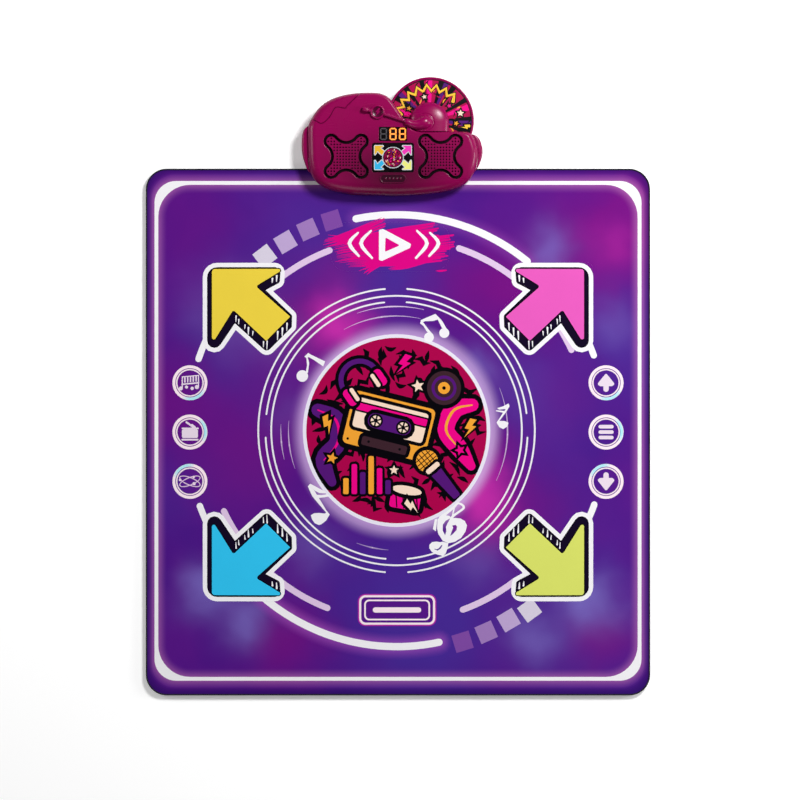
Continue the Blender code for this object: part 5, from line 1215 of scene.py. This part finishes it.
mesh = bmesh.new()
mesh.from_mesh(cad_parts["console_rear_shell"].data)
bmesh.ops.remove_doubles(mesh, verts=mesh.verts, dist=MERGE_GAP)
bmesh.ops.dissolve_limit(mesh, angle_limit=math.radians(0.5), verts=mesh.verts, edges=mesh.edges)
long_edges = []
for edge in mesh.edges:
    a, b = (v.co for v in edge.verts)
    middle = (a + b) / 2
    if abs(a.z - b.z) < 1e-5 and (a - b).length > 0.003:
        if all(finer(p.x, p.y) is not None for p in (middle, a, b)):
            long_edges.append(edge)
bmesh.ops.subdivide_edges(mesh, edges=long_edges, cuts=3)
for vert in mesh.verts:
    shift = finer(vert.co.x, vert.co.y)
    if shift:
        vert.co += shift
bmesh.ops.triangulate(mesh, faces=mesh.faces)
rear = finished("rear_tray_shell", mesh, maroon, sharp=35)
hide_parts("console_rear_shell")

# Side caps
# A puffed pad of the same plastic stands out of each side of the console.


def loft(rows):
    """A closed skin over rows of points. Each row is a closed loop."""
    mesh = bmesh.new()
    verts = [[mesh.verts.new(p) for p in row] for row in rows]
    bridged(mesh, verts)
    mesh.faces.new(verts[0][::-1])
    mesh.faces.new(verts[-1])
    bmesh.ops.recalc_face_normals(mesh, faces=mesh.faces)
    return mesh


def wall_x(y, facing):
    """Where the console's side stands at a place along it."""
    spots = []
    for a, b in zip(outline_flat, outline_flat[1:] + outline_flat[:1]):
        on_side = (a[0] - CONSOLE_X) * facing > 0.08
        if on_side and min(a[1], b[1]) <= y <= max(a[1], b[1]) and a[1] != b[1]:
            spots.append(a[0] + (b[0] - a[0]) * (y - a[1]) / (b[1] - a[1]))
    return max(spots, key=lambda x: x * facing)


CAP_GAP = 0.0004
CAP_SHARES = [(0.55, 0.0120), (0.80, 0.0134), (0.94, 0.0154), (1.0, 0.0180), (1.0, 0.0290), (0.97, 0.0312),
              (0.88, 0.0332), (0.72, 0.0345), (0.5, 0.0350)]
CAPS = {"left": (-1, [(-0.009, 0.0), (0.001, 0.0052), (0.033, 0.0110), (0.065, 0.0080), (0.075, 0.0)]),
        "right": (1, [(-0.006, 0.0), (0.005, 0.0040), (0.031, 0.0080), (0.055, 0.0070), (0.0600, 0.0)])}
for side, (facing, points) in CAPS.items():
    bulge = smooth(points, 10)
    cap_rows = []
    for share, z in CAP_SHARES:
        row = []
        for y, out in bulge:
            wall = wall_x(CONSOLE_Y + y, facing) + facing * CAP_GAP
            row.append((wall + facing * max(out, 0.0002) * share, CONSOLE_Y + y, z))
        for y, _ in bulge[::-1]:
            row.append((wall_x(CONSOLE_Y + y, facing) + facing * CAP_GAP, CONSOLE_Y + y, z))
        cap_rows.append(row)
    cap = finished(f"{side}_puffed_cap", loft(cap_rows), maroon)
    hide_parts(f"{side}_side_cap")

# Speaker grilles
# Each is one moulded cross with a grid of holes, a rounded edge and a brim that seats under
# the hood. A speaker with a black paper cone lies below it.
GRILLE_TOP = 0.0472
GRILLE_UNDER = 0.0454
BRIM_TOP = 0.0428
BRIM_LOW = 0.0410
HOLE_PITCH = 0.0053
HOLE_RADIUS = 0.00155
HOLE_INSET = 0.0069
EDGE_INSET = 0.0044
HOLLOW_INSET = 0.0053
BRIM_REACH = 0.0008
EDGE_DROPS = [(0.0, 0.0024), (0.0003, 0.0014), (0.0007, 0.0005), (0.0008, 0.0001), (0.0009, 0.0)]
BRIM = [(EDGE_INSET, BRIM_TOP), (-BRIM_REACH, BRIM_TOP), (-BRIM_REACH, BRIM_LOW),
        (HOLLOW_INSET, BRIM_LOW), (HOLLOW_INSET, GRILLE_UNDER)]
for side, x in zip(("left", "right"), SPEAKERS):
    margin = cross_loop(HOLE_INSET, x, SPEAKER_Y)
    steps = range(-8, 9)
    grid = [(x + i * HOLE_PITCH, SPEAKER_Y + j * HOLE_PITCH) for i in steps for j in steps]
    octagon = arc(0, 0, HOLE_RADIUS, 22.5, 337.5, 7)
    vents = [placed(octagon, *place) for place in grid if inside(*place, margin)]
    edge = [(cross_loop(EDGE_INSET + reach, x, SPEAKER_Y), drop) for reach, drop in EDGE_DROPS]
    mesh = relief(edge, [(vent, 0.0) for vent in vents], lambda px, py: GRILLE_TOP,
                  [BRIM_TOP] + [GRILLE_UNDER] * len(vents))
    hollow = cross_loop(HOLLOW_INSET, x, SPEAKER_Y)
    points, pieces = cut_flat({"under": (hollow, vents)})
    under = [mesh.verts.new((*p, GRILLE_UNDER)) for p in points]
    for triangle in pieces["under"][0]:
        mesh.faces.new([under[i] for i in reversed(triangle)])
    bridged(mesh, [[mesh.verts.new((*p, z)) for p in cross_loop(reach, x, SPEAKER_Y)] for reach, z in BRIM])
    bmesh.ops.remove_doubles(mesh, verts=mesh.verts, dist=MERGE_GAP)
    loose = [vert for vert in mesh.verts if not vert.link_faces]
    bmesh.ops.delete(mesh, geom=loose, context="VERTS")
    bmesh.ops.recalc_face_normals(mesh, faces=mesh.faces)
    grille = finished(f"{side}_cross_grille", mesh, maroon, maroon_painted_deep_shade)
    # Painted shade: every face below the grille's top, the brim, walls and outer slope of the edge, takes the
    # deep shade colour
    for face in grille.data.polygons:
        face.material_index = int(face.center.z < GRILLE_TOP - 0.0003)
    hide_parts(f"{side}_grille")

paper, tree, shader = new_material("cone_paper", Roughness=0.9, Specular_IOR_Level=0.2)
fibres = tree.noise(tree.place(), 900.0, 4.0, 0.7)
tint = tree.mix(fibres, rgb(16, 15, 17), rgb(44, 42, 45))
tree.feed(shader, Base_Color=tint, Normal=tree.bump(0.4, 0.0001, fibres))
iron, tree, shader = new_material("basket_iron", Metallic=0.8)
cast = tree.noise(tree.place(), 260.0, 4.0)
tint = tree.mix(cast, rgb(70, 70, 74), rgb(112, 112, 116))
tree.feed(shader, Base_Color=tint, Roughness=tree.ramp(cast, 0.3, 0.7, 0.35, 0.6))
for side in ("left", "right"):
    paint(f"{side}_speaker_cone", paper)
    paint(f"{side}_speaker_basket", iron)

# Record
# A shallow round cap on the lobe with a raised rim, and a printed label in the rim.
DISC = LOBE[:2]


def turned(profile, x, y, steps=96):
    """A round piece from a profile of (radius, height), the first and last point on the axis."""
    mesh = bmesh.new()
    rows = []
    for radius, z in profile:
        if radius:
            rows.append([mesh.verts.new((*p, z)) for p in circle(x, y, radius, steps)])
        else:
            rows.append([mesh.verts.new((x, y, z))] * steps)
    for high, low in zip(rows, rows[1:]):
        for i in range(steps):
            j = (i + 1) % steps
            mesh.faces.new(list(dict.fromkeys((high[i], low[i], low[j], high[j]))))
    bmesh.ops.recalc_face_normals(mesh, faces=mesh.faces)
    return mesh


def as_tool(mesh):
    return show("tool", as_mesh("tool", mesh))


def prism(loop, low, high):
    """An upright solid between two heights, as a tool."""
    return as_tool(loft([[(*p, z) for p in loop] for z in (low, high)]))


def combined(mesh, *steps):
    """A mesh after Boolean steps, each an operation and a tool object, which is then removed."""
    body = show("body", as_mesh("body", mesh))
    for operation, tool in steps:
        cut = body.modifiers.new(operation, "BOOLEAN")
        cut.operation = operation
        cut.object = tool
        cut.solver = "EXACT"
    made = applied(body)
    for piece in [body] + [tool for _, tool in steps]:
        bpy.data.objects.remove(piece)
    return made


rim_profile = [(0.0, 0.0296), (0.0739, 0.0296), (0.0741, 0.0300), (0.0744, 0.0304), (0.0748, 0.0306),
               (0.0768, 0.0306), (0.0773, 0.0304), (0.0776, 0.0301), (0.0777, 0.0296), (0.0777, 0.0226),
               (0.0775, 0.0223), (0.0757, 0.0223), (0.0757, 0.0276), (0.0, 0.0276)]
hood_room = grown(outline_flat, 0.0003)
data = combined(turned(rim_profile, *DISC, 144), ("DIFFERENCE", prism(hood_room, -0.001, FRONT_TOP)))
disc = dressed("record_cap", data, maroon)
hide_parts("record_disc")

# The label's print in the mat's colours: rays, short marks, a zigzag band, stars and two bolts
prints.clear()
LABEL_X, LABEL_Y = DISC[0] / GRID, DISC[1] / GRID
DOME = (CONSOLE_X + 0.0646, CONSOLE_Y + 0.0821)
DOME_RADIUS = 0.0348
DOME_DEPTH = 0.0300
LABEL_LOW, LABEL_HIGH = 0.0299, 0.0303
BAND_YELLOW = rgb(250, 205, 66)
ray_colours = (BLACK, HOT_PINK, BLACK, CRIMSON, BLACK, PLUM)
for i in range(30):
    first = 12 * i + (3 if i % 3 else -2)
    ray = [(LABEL_X, LABEL_Y)] + arc(LABEL_X, LABEL_Y, 43, first, first + (9 if i % 2 else 8), 3)
    ink(ray_colours[i % 6], ray)
for i in range(46):
    x, y = spoke(LABEL_X, LABEL_Y, chance.uniform(21, 39), 360 * i / 46)
    mark = stroke([(-2.4, 0), (0, chance.uniform(-1, 1)), (2.4, 0)], [0.4, 1.3, 0.4], 3)
    ink((BLACK, CRIMSON, BLACK, ORANGE)[i % 4], placed(mark, x, y, chance.uniform(0, 180)))
zig = [spoke(LABEL_X, LABEL_Y, 35.8 if i % 2 else 29.6, 168 - 8.0 * i) for i in range(17)]
ink(BLACK, stroke(zig, 5.6, 1))
ink(BAND_YELLOW, stroke(zig, 3.2, 1))
ink(ORANGE, stroke([(x, y - 0.9) for x, y in zig], 1.0, 1))
for turn, reach, size, colour in ((188, 32, 3.6, CREAM), (14, 31, 3.8, CREAM), (-6, 26, 2.8, ORANGE),
                                  (104, 24.5, 2.6, CREAM), (150, 24.5, 2.6, ORANGE), (38, 24, 2.4, HOT_PINK)):
    star(*spoke(LABEL_X, LABEL_Y, reach, turn), size, turn, colour, 0.9)
SMALL_BOLT = [(-1, 5), (2.5, 5), (0.8, 1.5), (3, 1.5), (-2, -5.5), (-0.2, -0.8), (-2.8, -0.8)]
for turn in (176, -10):
    x, y = spoke(LABEL_X, LABEL_Y, 36, turn)
    outlined(BAND_YELLOW, placed(SMALL_BOLT, x, y, turn - 60, 0.9), 0.9)
ring_print(BLACK, LABEL_X, LABEL_Y, 41.2, 0.9)
dome_base = arc(*DOME, DOME_RADIUS, 0, 180, 48)
dome_base += [(DOME[0] + side * DOME_RADIUS, DOME[1] - DOME_DEPTH) for side in (-1, 1)]


def print_material(name, ground, roughness, glow=0.0):
    """A smooth printed or smoked surface with its print in the "ink" attribute."""
    material, tree, shader = new_material(name, Specular_IOR_Level=0.2)
    smears = tree.noise(tree.place(), 45.0, 4.0, 0.6)
    print_ink = tree.add("ShaderNodeAttribute", attribute_name="ink").outputs
    colour = tree.mix(print_ink["Alpha"], ground, print_ink["Color"])
    colour = tree.mix(tree.ramp(smears, 0.35, 0.75, 0.0, 0.015), colour, rgb(150, 140, 150))
    dulled = tree.ramp(smears, 0.3, 0.7, roughness, roughness + 0.12)
    tree.feed(shader, Base_Color=colour, Roughness=dulled)
    if glow:
        lit = tree.math("MULTIPLY", tree.math("GREATER_THAN", print_ink["Alpha"], 0.97), glow)
        tree.feed(shader, Emission_Color=print_ink["Color"], Emission_Strength=lit)
    return material


def flat_part(name, node, outline_loop, holes, low, high, material, back):
    """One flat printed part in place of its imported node, with the prints listed so far."""
    points, pieces = cut_flat({name: (outline_loop, holes)}, prints)
    piece = flat_piece(name, points, *pieces[name], low, high, material, back)
    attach(piece, BODY)
    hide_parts(node)


label_material = print_material("label_print", CRIMSON, 0.32)
label_holes = [grown(outline_flat, 0.0006), grown(dome_base, 0.0003)]
flat_part("label_sheet", "record_label", circle(*DISC, 0.0738, 120), label_holes,
          LABEL_LOW, LABEL_HIGH, label_material, maroon)

# Hub dome and curled head
# One moulding over the record's middle: a dome with a straight side towards the hood, and
# the arm's curled head that ends in a ball with a crease round it.
DOME_SPRING, DOME_TOP = 0.0336, 0.0462
dome_rows = [[(*p, LABEL_LOW) for p in dome_base]]
for turn in range(0, 89, 4):
    share = math.cos(math.radians(turn))
    z = DOME_SPRING + (DOME_TOP - DOME_SPRING) * math.sin(math.radians(turn))
    dome_rows.append([(DOME[0] + (x - DOME[0]) * share,
                       DOME[1] + (y - DOME[1]) * (share if y > DOME[1] else 1), z) for x, y in dome_base])
ARM_Z = 0.0514
HOOD_SEAT = 0.0483
HEAD_POINTS = [(0.0206, 0.0833, 0.0000, 0.0034), (0.0229, 0.0826, 0.0004, 0.0050),
               (0.0262, 0.0806, 0.0012, 0.0062), (0.0320, 0.0780, 0.0024, 0.0070),
               (0.0400, 0.0768, 0.0046, 0.0086), (0.0470, 0.0778, 0.0070, 0.0106),
               (0.0540, 0.0798, 0.0088, 0.0126), (0.0600, 0.0816, 0.0094, 0.0122),
               (0.0650, 0.0832, 0.0100, 0.0100), (0.0685, 0.0844, 0.0108, 0.0062),
               (0.0700, 0.0850, 0.0112, 0.0034)]


def tube(points, steps=24):
    """A round bar through points of (x, y, height, radius)."""
    rows = []
    for i, (x, y, z, radius) in enumerate(points):
        back, ahead = points[max(i - 1, 0)], points[min(i + 1, len(points) - 1)]
        along = (Vector(ahead[:2]) - Vector(back[:2])).normalized()
        rows.append([(x - along.y * a, y + along.x * a, z + b) for a, b in circle(0, 0, radius, steps)])
    return loft(rows)


head = [(x, y, ARM_Z - drop, radius) for x, y, drop, radius in smooth(at_console(HEAD_POINTS), 5)]
dome = show("dome", combined(loft(dome_rows), ("UNION", as_tool(tube(head)))))
melt = dome.modifiers.new("melt", "REMESH")
melt.mode = "VOXEL"
melt.voxel_size = 0.0005
soften = dome.modifiers.new("soften", "SMOOTH")
soften.iterations = 4
soften.factor = 0.5
mesh = bmesh.new()
mesh.from_mesh(applied(dome))
bpy.data.objects.remove(dome)
BALL = Vector((CONSOLE_X + 0.0575, CONSOLE_Y + 0.0812))
CREASE_RADIUS, CREASE_HALF, CREASE_DEPTH = 0.0152, 0.0016, 0.0010
for vert in mesh.verts:
    gap = abs((vert.co.xy - BALL).length - CREASE_RADIUS)
    if vert.co.x > BALL.x - 0.006 and gap < CREASE_HALF and vert.co.z > 0.036:
        vert.co.z -= CREASE_DEPTH * (1 - gap / CREASE_HALF) ** 2
data = combined(mesh, ("DIFFERENCE", prism(hood_room, -0.001, HOOD_SEAT)))
dome = dressed("hub_dome_and_head", data, maroon, sharp=55)
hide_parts("record_hub_dome")

# Tonearm
# A round pivot with a raised rim and a raised bolt sign, an arm towards the record and a
# counterweight behind. It is one moulding that lies on the hood.
PIVOT = (CONSOLE_X - 0.0275, CONSOLE_Y + 0.0986)
pivot_profile = [(0.0, 0.0496), (0.0088, 0.0496), (0.0092, 0.0499), (0.0095, 0.0515), (0.0099, 0.0521),
                 (0.0106, 0.0525), (0.0114, 0.0525), (0.0121, 0.0522), (0.0126, 0.0516), (0.0128, 0.0508),
                 (0.0128, HOOD_SEAT), (0.0, HOOD_SEAT)]
sign = [(1.2, 6.4), (3.6, 6.0), (1.4, 1.0), (4.2, 1.4), (-2.2, -6.6), (-0.6, -0.9), (-3.6, -1.2)]
sign_loop = round_corners(placed(sign, *PIVOT, -8, 0.0012)[::-1], 0.0003, 2)
arm_row = [(PIVOT[0] + 0.0107, PIVOT[1] - 0.0034, ARM_Z, 0.0031)]
arm_row += [(CONSOLE_X + x, CONSOLE_Y + y, ARM_Z, radius) for x, y, radius in (
    (0.0172, 0.0844, 0.0031), (0.0198, 0.08355, 0.0030), (0.0203, 0.0834, 0.0027))]
weight_far = (CONSOLE_X - 0.0541, CONSOLE_Y + 0.1038)
weight_row = []
for share, radius in ((0.40, 0.0030), (0.62, 0.0031), (0.66, 0.0041), (0.70, 0.0045), (0.95, 0.0045),
                      (0.985, 0.0042), (1.0, 0.0034)):
    x, y = (PIVOT[i] + (weight_far[i] - PIVOT[i]) * share for i in (0, 1))
    weight_row.append((x, y, ARM_Z + 0.0014, radius))
below_seat = prism(rounded_box(0.2, 0.2, 0.01, *PIVOT), 0.040, HOOD_SEAT)
data = combined(turned(pivot_profile, *PIVOT, 64), ("UNION", as_tool(tube(arm_row))),
                ("UNION", as_tool(tube(weight_row))), ("UNION", prism(sign_loop, 0.0490, 0.0513)),
                ("DIFFERENCE", below_seat))
arm = dressed("tonearm_moulding", data, maroon, maroon_painted_shade)
# Painted shade: the pivot's sunk floor and the foot of its inner wall take the shade colour
for face in arm.data.polygons:
    in_painted_shade = math.dist(face.center.xy, PIVOT) < 0.0094 and face.center.z < 0.0506
    face.material_index = int(in_painted_shade)
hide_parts("tonearm")

# Display window and lamp panel
# Smoked clear plastic, flush in the hood. The window shows three digits, two of them lit.
# The panel shows four small arrows round a patterned disc.
prints.clear()
LENS_LOW, LENS_HIGH = 0.0459, 0.0477
smoked_back = print_material("smoked_back", rgb(10, 9, 12), 0.3)
LIT, GLOW_RED, UNLIT = rgb(255, 168, 74), rgb(196, 52, 20), rgb(84, 80, 84)
DIGIT_BAR = [(-4.6, 0), (-3.5, -1.1), (3.5, -1.1), (4.6, 0), (3.5, 1.1), (-3.5, 1.1)]
DIGIT_PLACES = [(0, 9.6, 0), (0, 0, 0), (0, -9.6, 0), (-5.0, 4.8, 90), (5.0, 4.8, 90), (-5.0, -4.8, 90),
                (5.0, -4.8, 90)]
for x, lit in ((-0.0167, False), (0.0001, True), (0.0169, True)):
    bars = [placed(DIGIT_BAR, *place) for place in DIGIT_PLACES]
    spots = [placed(bar, CONSOLE_X + x, WINDOW_Y, size=0.001) for bar in bars]
    if lit:
        ink(GLOW_RED, *[grown(bar, 0.0006) for bar in spots], size=1.0, cover=0.85)
    ink(LIT if lit else UNLIT, *spots, size=1.0, cover=1.0 if lit else 0.9)
lit_window = print_material("lit_window", rgb(8, 6, 9), 0.16, glow=0.45)
flat_part("digit_window", "display_window", window_loop, [], LENS_LOW, LENS_HIGH,
          lit_window, smoked_back)

prints.clear()
PANEL_X, PANEL_Y = CONSOLE_X / GRID, LAMPS_Y / GRID
LAMP_COLOURS = {"yellow": rgb(226, 178, 52), "pink": rgb(232, 60, 178), "blue": rgb(54, 176, 224),
                "lime": rgb(228, 230, 128)}
small = round_corners([((x + 148) * 0.128, (y - 128) * 0.128) for x, y in FACE], 0.3, 3)
for name, (side, end_y) in ARROWS.items():
    middle = (PANEL_X + side * 13.3, PANEL_Y + end_y * 7.3)
    loop = placed(flipped(small, -side, end_y), *middle)
    ink(rgb(206, 210, 214), grown(loop, 0.75))
    ink(LAMP_COLOURS[name], loop)
    line = stroke([(3.0 * side, -2.2 * end_y), (-0.4 * side, -4.6 * end_y)], 0.5, 1)
    ink(rgb(120, 70, 40), placed(line, *middle), cover=0.35)
ink(rgb(196, 200, 206), circle(PANEL_X, PANEL_Y, 10.7, 48))
ink(BLACK, circle(PANEL_X, PANEL_Y, 9.9, 48))
ink(rgb(120, 0, 56), circle(PANEL_X, PANEL_Y, 9.2, 48))
for i in range(96):
    spin = chance.uniform(0, 360)
    x, y = spoke(PANEL_X, PANEL_Y, 8.2 * math.sqrt(chance.random()), spin)
    colour = (BLACK, CRIMSON, ORANGE, BLACK, PLUM, HOT_PINK, BLACK, CRIMSON, CREAM, BLACK)[i % 10]
    mark = stroke([(-1.0, 0), (0, 0.3), (1.0, 0)], [0.3, chance.uniform(0.7, 1.2), 0.3], 2)
    ink(colour, placed(mark, x, y, chance.uniform(0, 180)))
flat_part("lamp_panel", "lamp_panel_lens", panel_loop, [], LENS_LOW, LENS_HIGH,
          print_material("panel_print", rgb(6, 5, 8), 0.16), smoked_back)

# Badge
# A bare raised oval under the panel, with a rim and a row of plain studs.
BADGE_Y = CONSOLE_Y - 0.0198
STUD_PITCH = 0.0066
badge_profile = [(0.0, HOOD_SEAT), (0.0, 0.0489), (0.0002, 0.0493), (0.0006, 0.0495), (0.0012, 0.0495),
                 (0.0017, 0.0493), (0.0020, 0.0486)]
stud_profile = [(0.0, 0.0496), (0.0013, 0.04955), (0.0021, 0.0492), (0.0023, 0.0484), (0.0, 0.0484)]
badge_loop = rounded_box(0.0466, 0.0164, 0.0080, CONSOLE_X, BADGE_Y, 10)
badge_rows = [[(*p, z) for p in grown(badge_loop, -reach)] for reach, z in badge_profile]
studs = [("UNION", as_tool(turned(stud_profile, CONSOLE_X + STUD_PITCH * (i - 2), BADGE_Y, 20)))
         for i in range(5)]
badge = dressed("oval_badge", combined(loft(badge_rows), *studs), maroon, maroon_painted_shade)
# Painted shade: the floor inside the rim, round the studs, takes the shade colour
for face in badge.data.polygons:
    face.material_index = int(face.center.z < 0.0488 and face.normal.z > 0.9)
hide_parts("front_badge")

# Boards, lamps and display module inside the console
# Green boards with pale tracks, and a white housing for the digits. They keep their packed
# shapes.
board, tree, shader = new_material("circuit_board", Roughness=0.4, Specular_IOR_Level=0.5)
place = tree.place()
cells = tree.add("ShaderNodeTexVoronoi", {"Vector": place, "Scale": 260.0}, distance="MANHATTAN").outputs
tracks = tree.math("LESS_THAN", tree.math("FRACT", tree.math("MULTIPLY", cells["Distance"], 3.0)), 0.28)
tint = tree.mix(tracks, rgb(22, 96, 48), rgb(46, 128, 70))
tint = tree.mix(tree.math("LESS_THAN", cells["Distance"], 0.12), tint, rgb(196, 190, 170))
tree.feed(shader, Base_Color=tint)
housing = plastic("lamp_housing", rgb(222, 222, 220))
for node in ("main_board", "lamp_board"):
    paint(node, board)
paint("display_module", housing)

# Cells, contacts and the cell door
# Three sleeved dry cells between steel contacts, closed by a plain door with a screw. They
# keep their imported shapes.
steel, tree, shader = new_material("zinc_steel", Metallic=1.0)
place = tree.place()
brushed = tree.noise(tree.vector("MULTIPLY", place, (900.0, 90.0, 900.0)), 1.0, 4.0)
spangle = tree.noise(place, 180.0, 2.0)
tint = tree.mix(tree.ramp(spangle, 0.3, 0.7), rgb(176, 178, 182), rgb(206, 207, 210))
tree.feed(shader, Base_Color=tint, Roughness=tree.ramp(brushed, 0.3, 0.7, 0.24, 0.42))
sleeve, tree, shader = new_material("cell_sleeve", Roughness=0.3, Metallic=0.3)
place = tree.place()
along = tree.add("ShaderNodeSeparateXYZ", (place,)).outputs[0]
band = tree.math("GREATER_THAN", along, CONSOLE_X - 0.0520)
tint = tree.mix(band, rgb(38, 42, 50), rgb(190, 130, 62))
tint = tree.mix(tree.ramp(tree.noise(place, 300.0), 0.4, 0.7, 0.0, 0.15), tint, rgb(120, 120, 124))
tree.feed(shader, Base_Color=tint)
for i in (1, 2, 3):
    paint(f"battery_cell_{i}", sleeve)
for node in ("battery_contact_left", "battery_contact_right", "power_switch_body"):
    paint(node, steel)
# Painted shade: the cell door and the clamp plate, which face the floor, take the shade colour
paint("battery_door", maroon_painted_shade)
paint("mat_clamp_plate", maroon_painted_shade)

# Screws
# Pan-head screws with a cross recess, made once and repeated by Geometry Nodes.
SCREW_HEAD = [(0.0, 0.0), (0.0014, 0.00005), (0.0023, 0.0003), (0.0028, 0.0008), (0.0030, 0.0014),
              (0.0030, 0.0018), (0.0014, 0.0018)]
THREAD_PITCH = 0.0007
RECESS_LONG, RECESS_WIDE = 0.0014, 0.00028


def screw_unit(length):
    """A screw with its head down at height 0 and a threaded shank up to the given length."""
    profile = list(SCREW_HEAD)
    z = SCREW_HEAD[-1][1]
    while z < length - 2 * THREAD_PITCH:
        profile += [(0.0014, z + 0.0002), (0.0011, z + 0.0005)]
        z += THREAD_PITCH
    profile += [(0.0008, length - 0.0004), (0.0, length)]
    slots = []
    for w, h, depth in ((RECESS_LONG, RECESS_WIDE, 0.0009), (RECESS_WIDE, RECESS_LONG, 0.00091)):
        slots.append(("DIFFERENCE", prism([(-w, -h), (w, -h), (w, h), (-w, h)], -0.001, depth)))
    return combined(turned(profile, 0.0, 0.0, 16), *slots)


for name, nodes, body in (("case_screws", [f"case_screw_{i}" for i in (1, 2, 3, 4)], BODY),
                          ("clamp_screws", ["clamp_screw_1", "clamp_screw_2"], BODY),
                          ("door_screw", ["battery_door_screw"], "cell_door")):
    boxes = [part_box(node) for node in nodes]
    unit = show("unit", screw_unit(boxes[0][1].z - boxes[0][0].z))
    spots = [((low.x + high.x) / 2, (low.y + high.y) / 2, low.z) for low, high in boxes]
    screws = repeated(name, spots, unit, steel)
    bpy.data.objects.remove(unit)
    screws.data.shade_smooth()
    screws.data.set_sharp_from_angle(angle=math.radians(40))
    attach(screws, body)
    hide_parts(*nodes)

# Switch knob and rubber feet
# A plain black knob in the back wall, and two soft feet under the back corners.
black_plastic = plastic("switch_plastic", rgb(24, 24, 26))
paint("power_switch_knob", black_plastic)
rubber, tree, shader = new_material("black_rubber", Roughness=0.85, Specular_IOR_Level=0.25)
dust = tree.noise(tree.place(), 120.0, 5.0, 0.7)
tint = tree.mix(tree.ramp(dust, 0.4, 0.8), rgb(22, 22, 23), rgb(52, 50, 50))
tree.feed(shader, Base_Color=tint, Normal=tree.bump(0.3, 0.0001, dust))
foot_profile = [(0.0, 0.0024), (0.0072, 0.0024), (0.0075, 0.0021), (0.0075, 0.0008), (0.0073, 0.0003),
                (0.0068, 0.0), (0.0052, 0.0), (0.0049, 0.0004), (0.0045, 0.0004), (0.0042, 0.0), (0.0, 0.0)]
for side, x, y in (("left", -0.1180, 0.0600), ("right", 0.0900, 0.1200)):
    foot = finished(f"{side}_soft_foot", turned(foot_profile, CONSOLE_X + x, CONSOLE_Y + y, 48), rubber)
    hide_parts(f"{side}_rubber_foot")

# Floor, light and camera
# A floor that is white to the camera but keeps the shadow, a large soft light from the upper
# right and three weaker ones at the sides and in front. The camera looks straight down.
PURE_WHITE = (1.0, 1.0, 1.0, 1.0)
FLOOR_HALF, FLOOR_Z = 6, -0.0002
floor_mesh = bpy.data.meshes.new("floor")
corners = [(x * FLOOR_HALF, y * FLOOR_HALF, FLOOR_Z) for x, y in ((-1, -1), (1, -1), (1, 1), (-1, 1))]
floor_mesh.from_pydata(corners, [], [(0, 1, 2, 3)])
floor = show("floor", floor_mesh)
floor_material, tree, shader = new_material("floor", Roughness=0.9, Specular_IOR_Level=0.1)
seen = tree.add("ShaderNodeLightPath").outputs["Is Camera Ray"]
tree.feed(shader, Base_Color=tree.mix(seen, (0.80, 0.80, 0.80, 1.0), PURE_WHITE),
          Emission_Color=PURE_WHITE, Emission_Strength=tree.math("MULTIPLY", seen, 0.24))
floor_mesh.materials.append(floor_material)

world = bpy.data.worlds.new("studio")
bpy.context.scene.world = world
world.use_nodes = True
sky = world.node_tree.nodes["Background"].inputs
sky["Color"].default_value = PURE_WHITE
sky["Strength"].default_value = 0.06


def soft_light(name, place, target, size, power):
    lamp = bpy.data.lights.new(name, "AREA")
    lamp.shape = "DISK"
    lamp.size = size
    lamp.energy = power
    piece = show(name, lamp)
    piece.location = place
    piece.rotation_euler = (Vector(target) - Vector(place)).to_track_quat("-Z", "Y").to_euler()


soft_light("key_light", (1.5, 1.9, 2.6), (0.0, 0.1, 0.0), 0.9, 106.0)
soft_light("left_light", (-2.6, 0.9, 1.3), (0.0, 0.2, 0.0), 1.2, 22.0)
soft_light("right_light", (2.6, 0.3, 1.1), (0.0, 0.2, 0.0), 1.0, 28.0)
soft_light("front_light", (-0.4, -2.4, 2.2), (0.0, 0.0, 0.0), 1.6, 12.0)

CAMERA_PLACE = (0.0036, 0.0572, 7.94)
lens = bpy.data.cameras.new("camera")
lens.lens = 200.0
lens.sensor_width = 36.0
lens.clip_end = 100.0
camera = show("camera", lens)
camera.location = CAMERA_PLACE
bpy.context.scene.camera = camera
bpy.context.scene.view_settings.view_transform = "Standard"
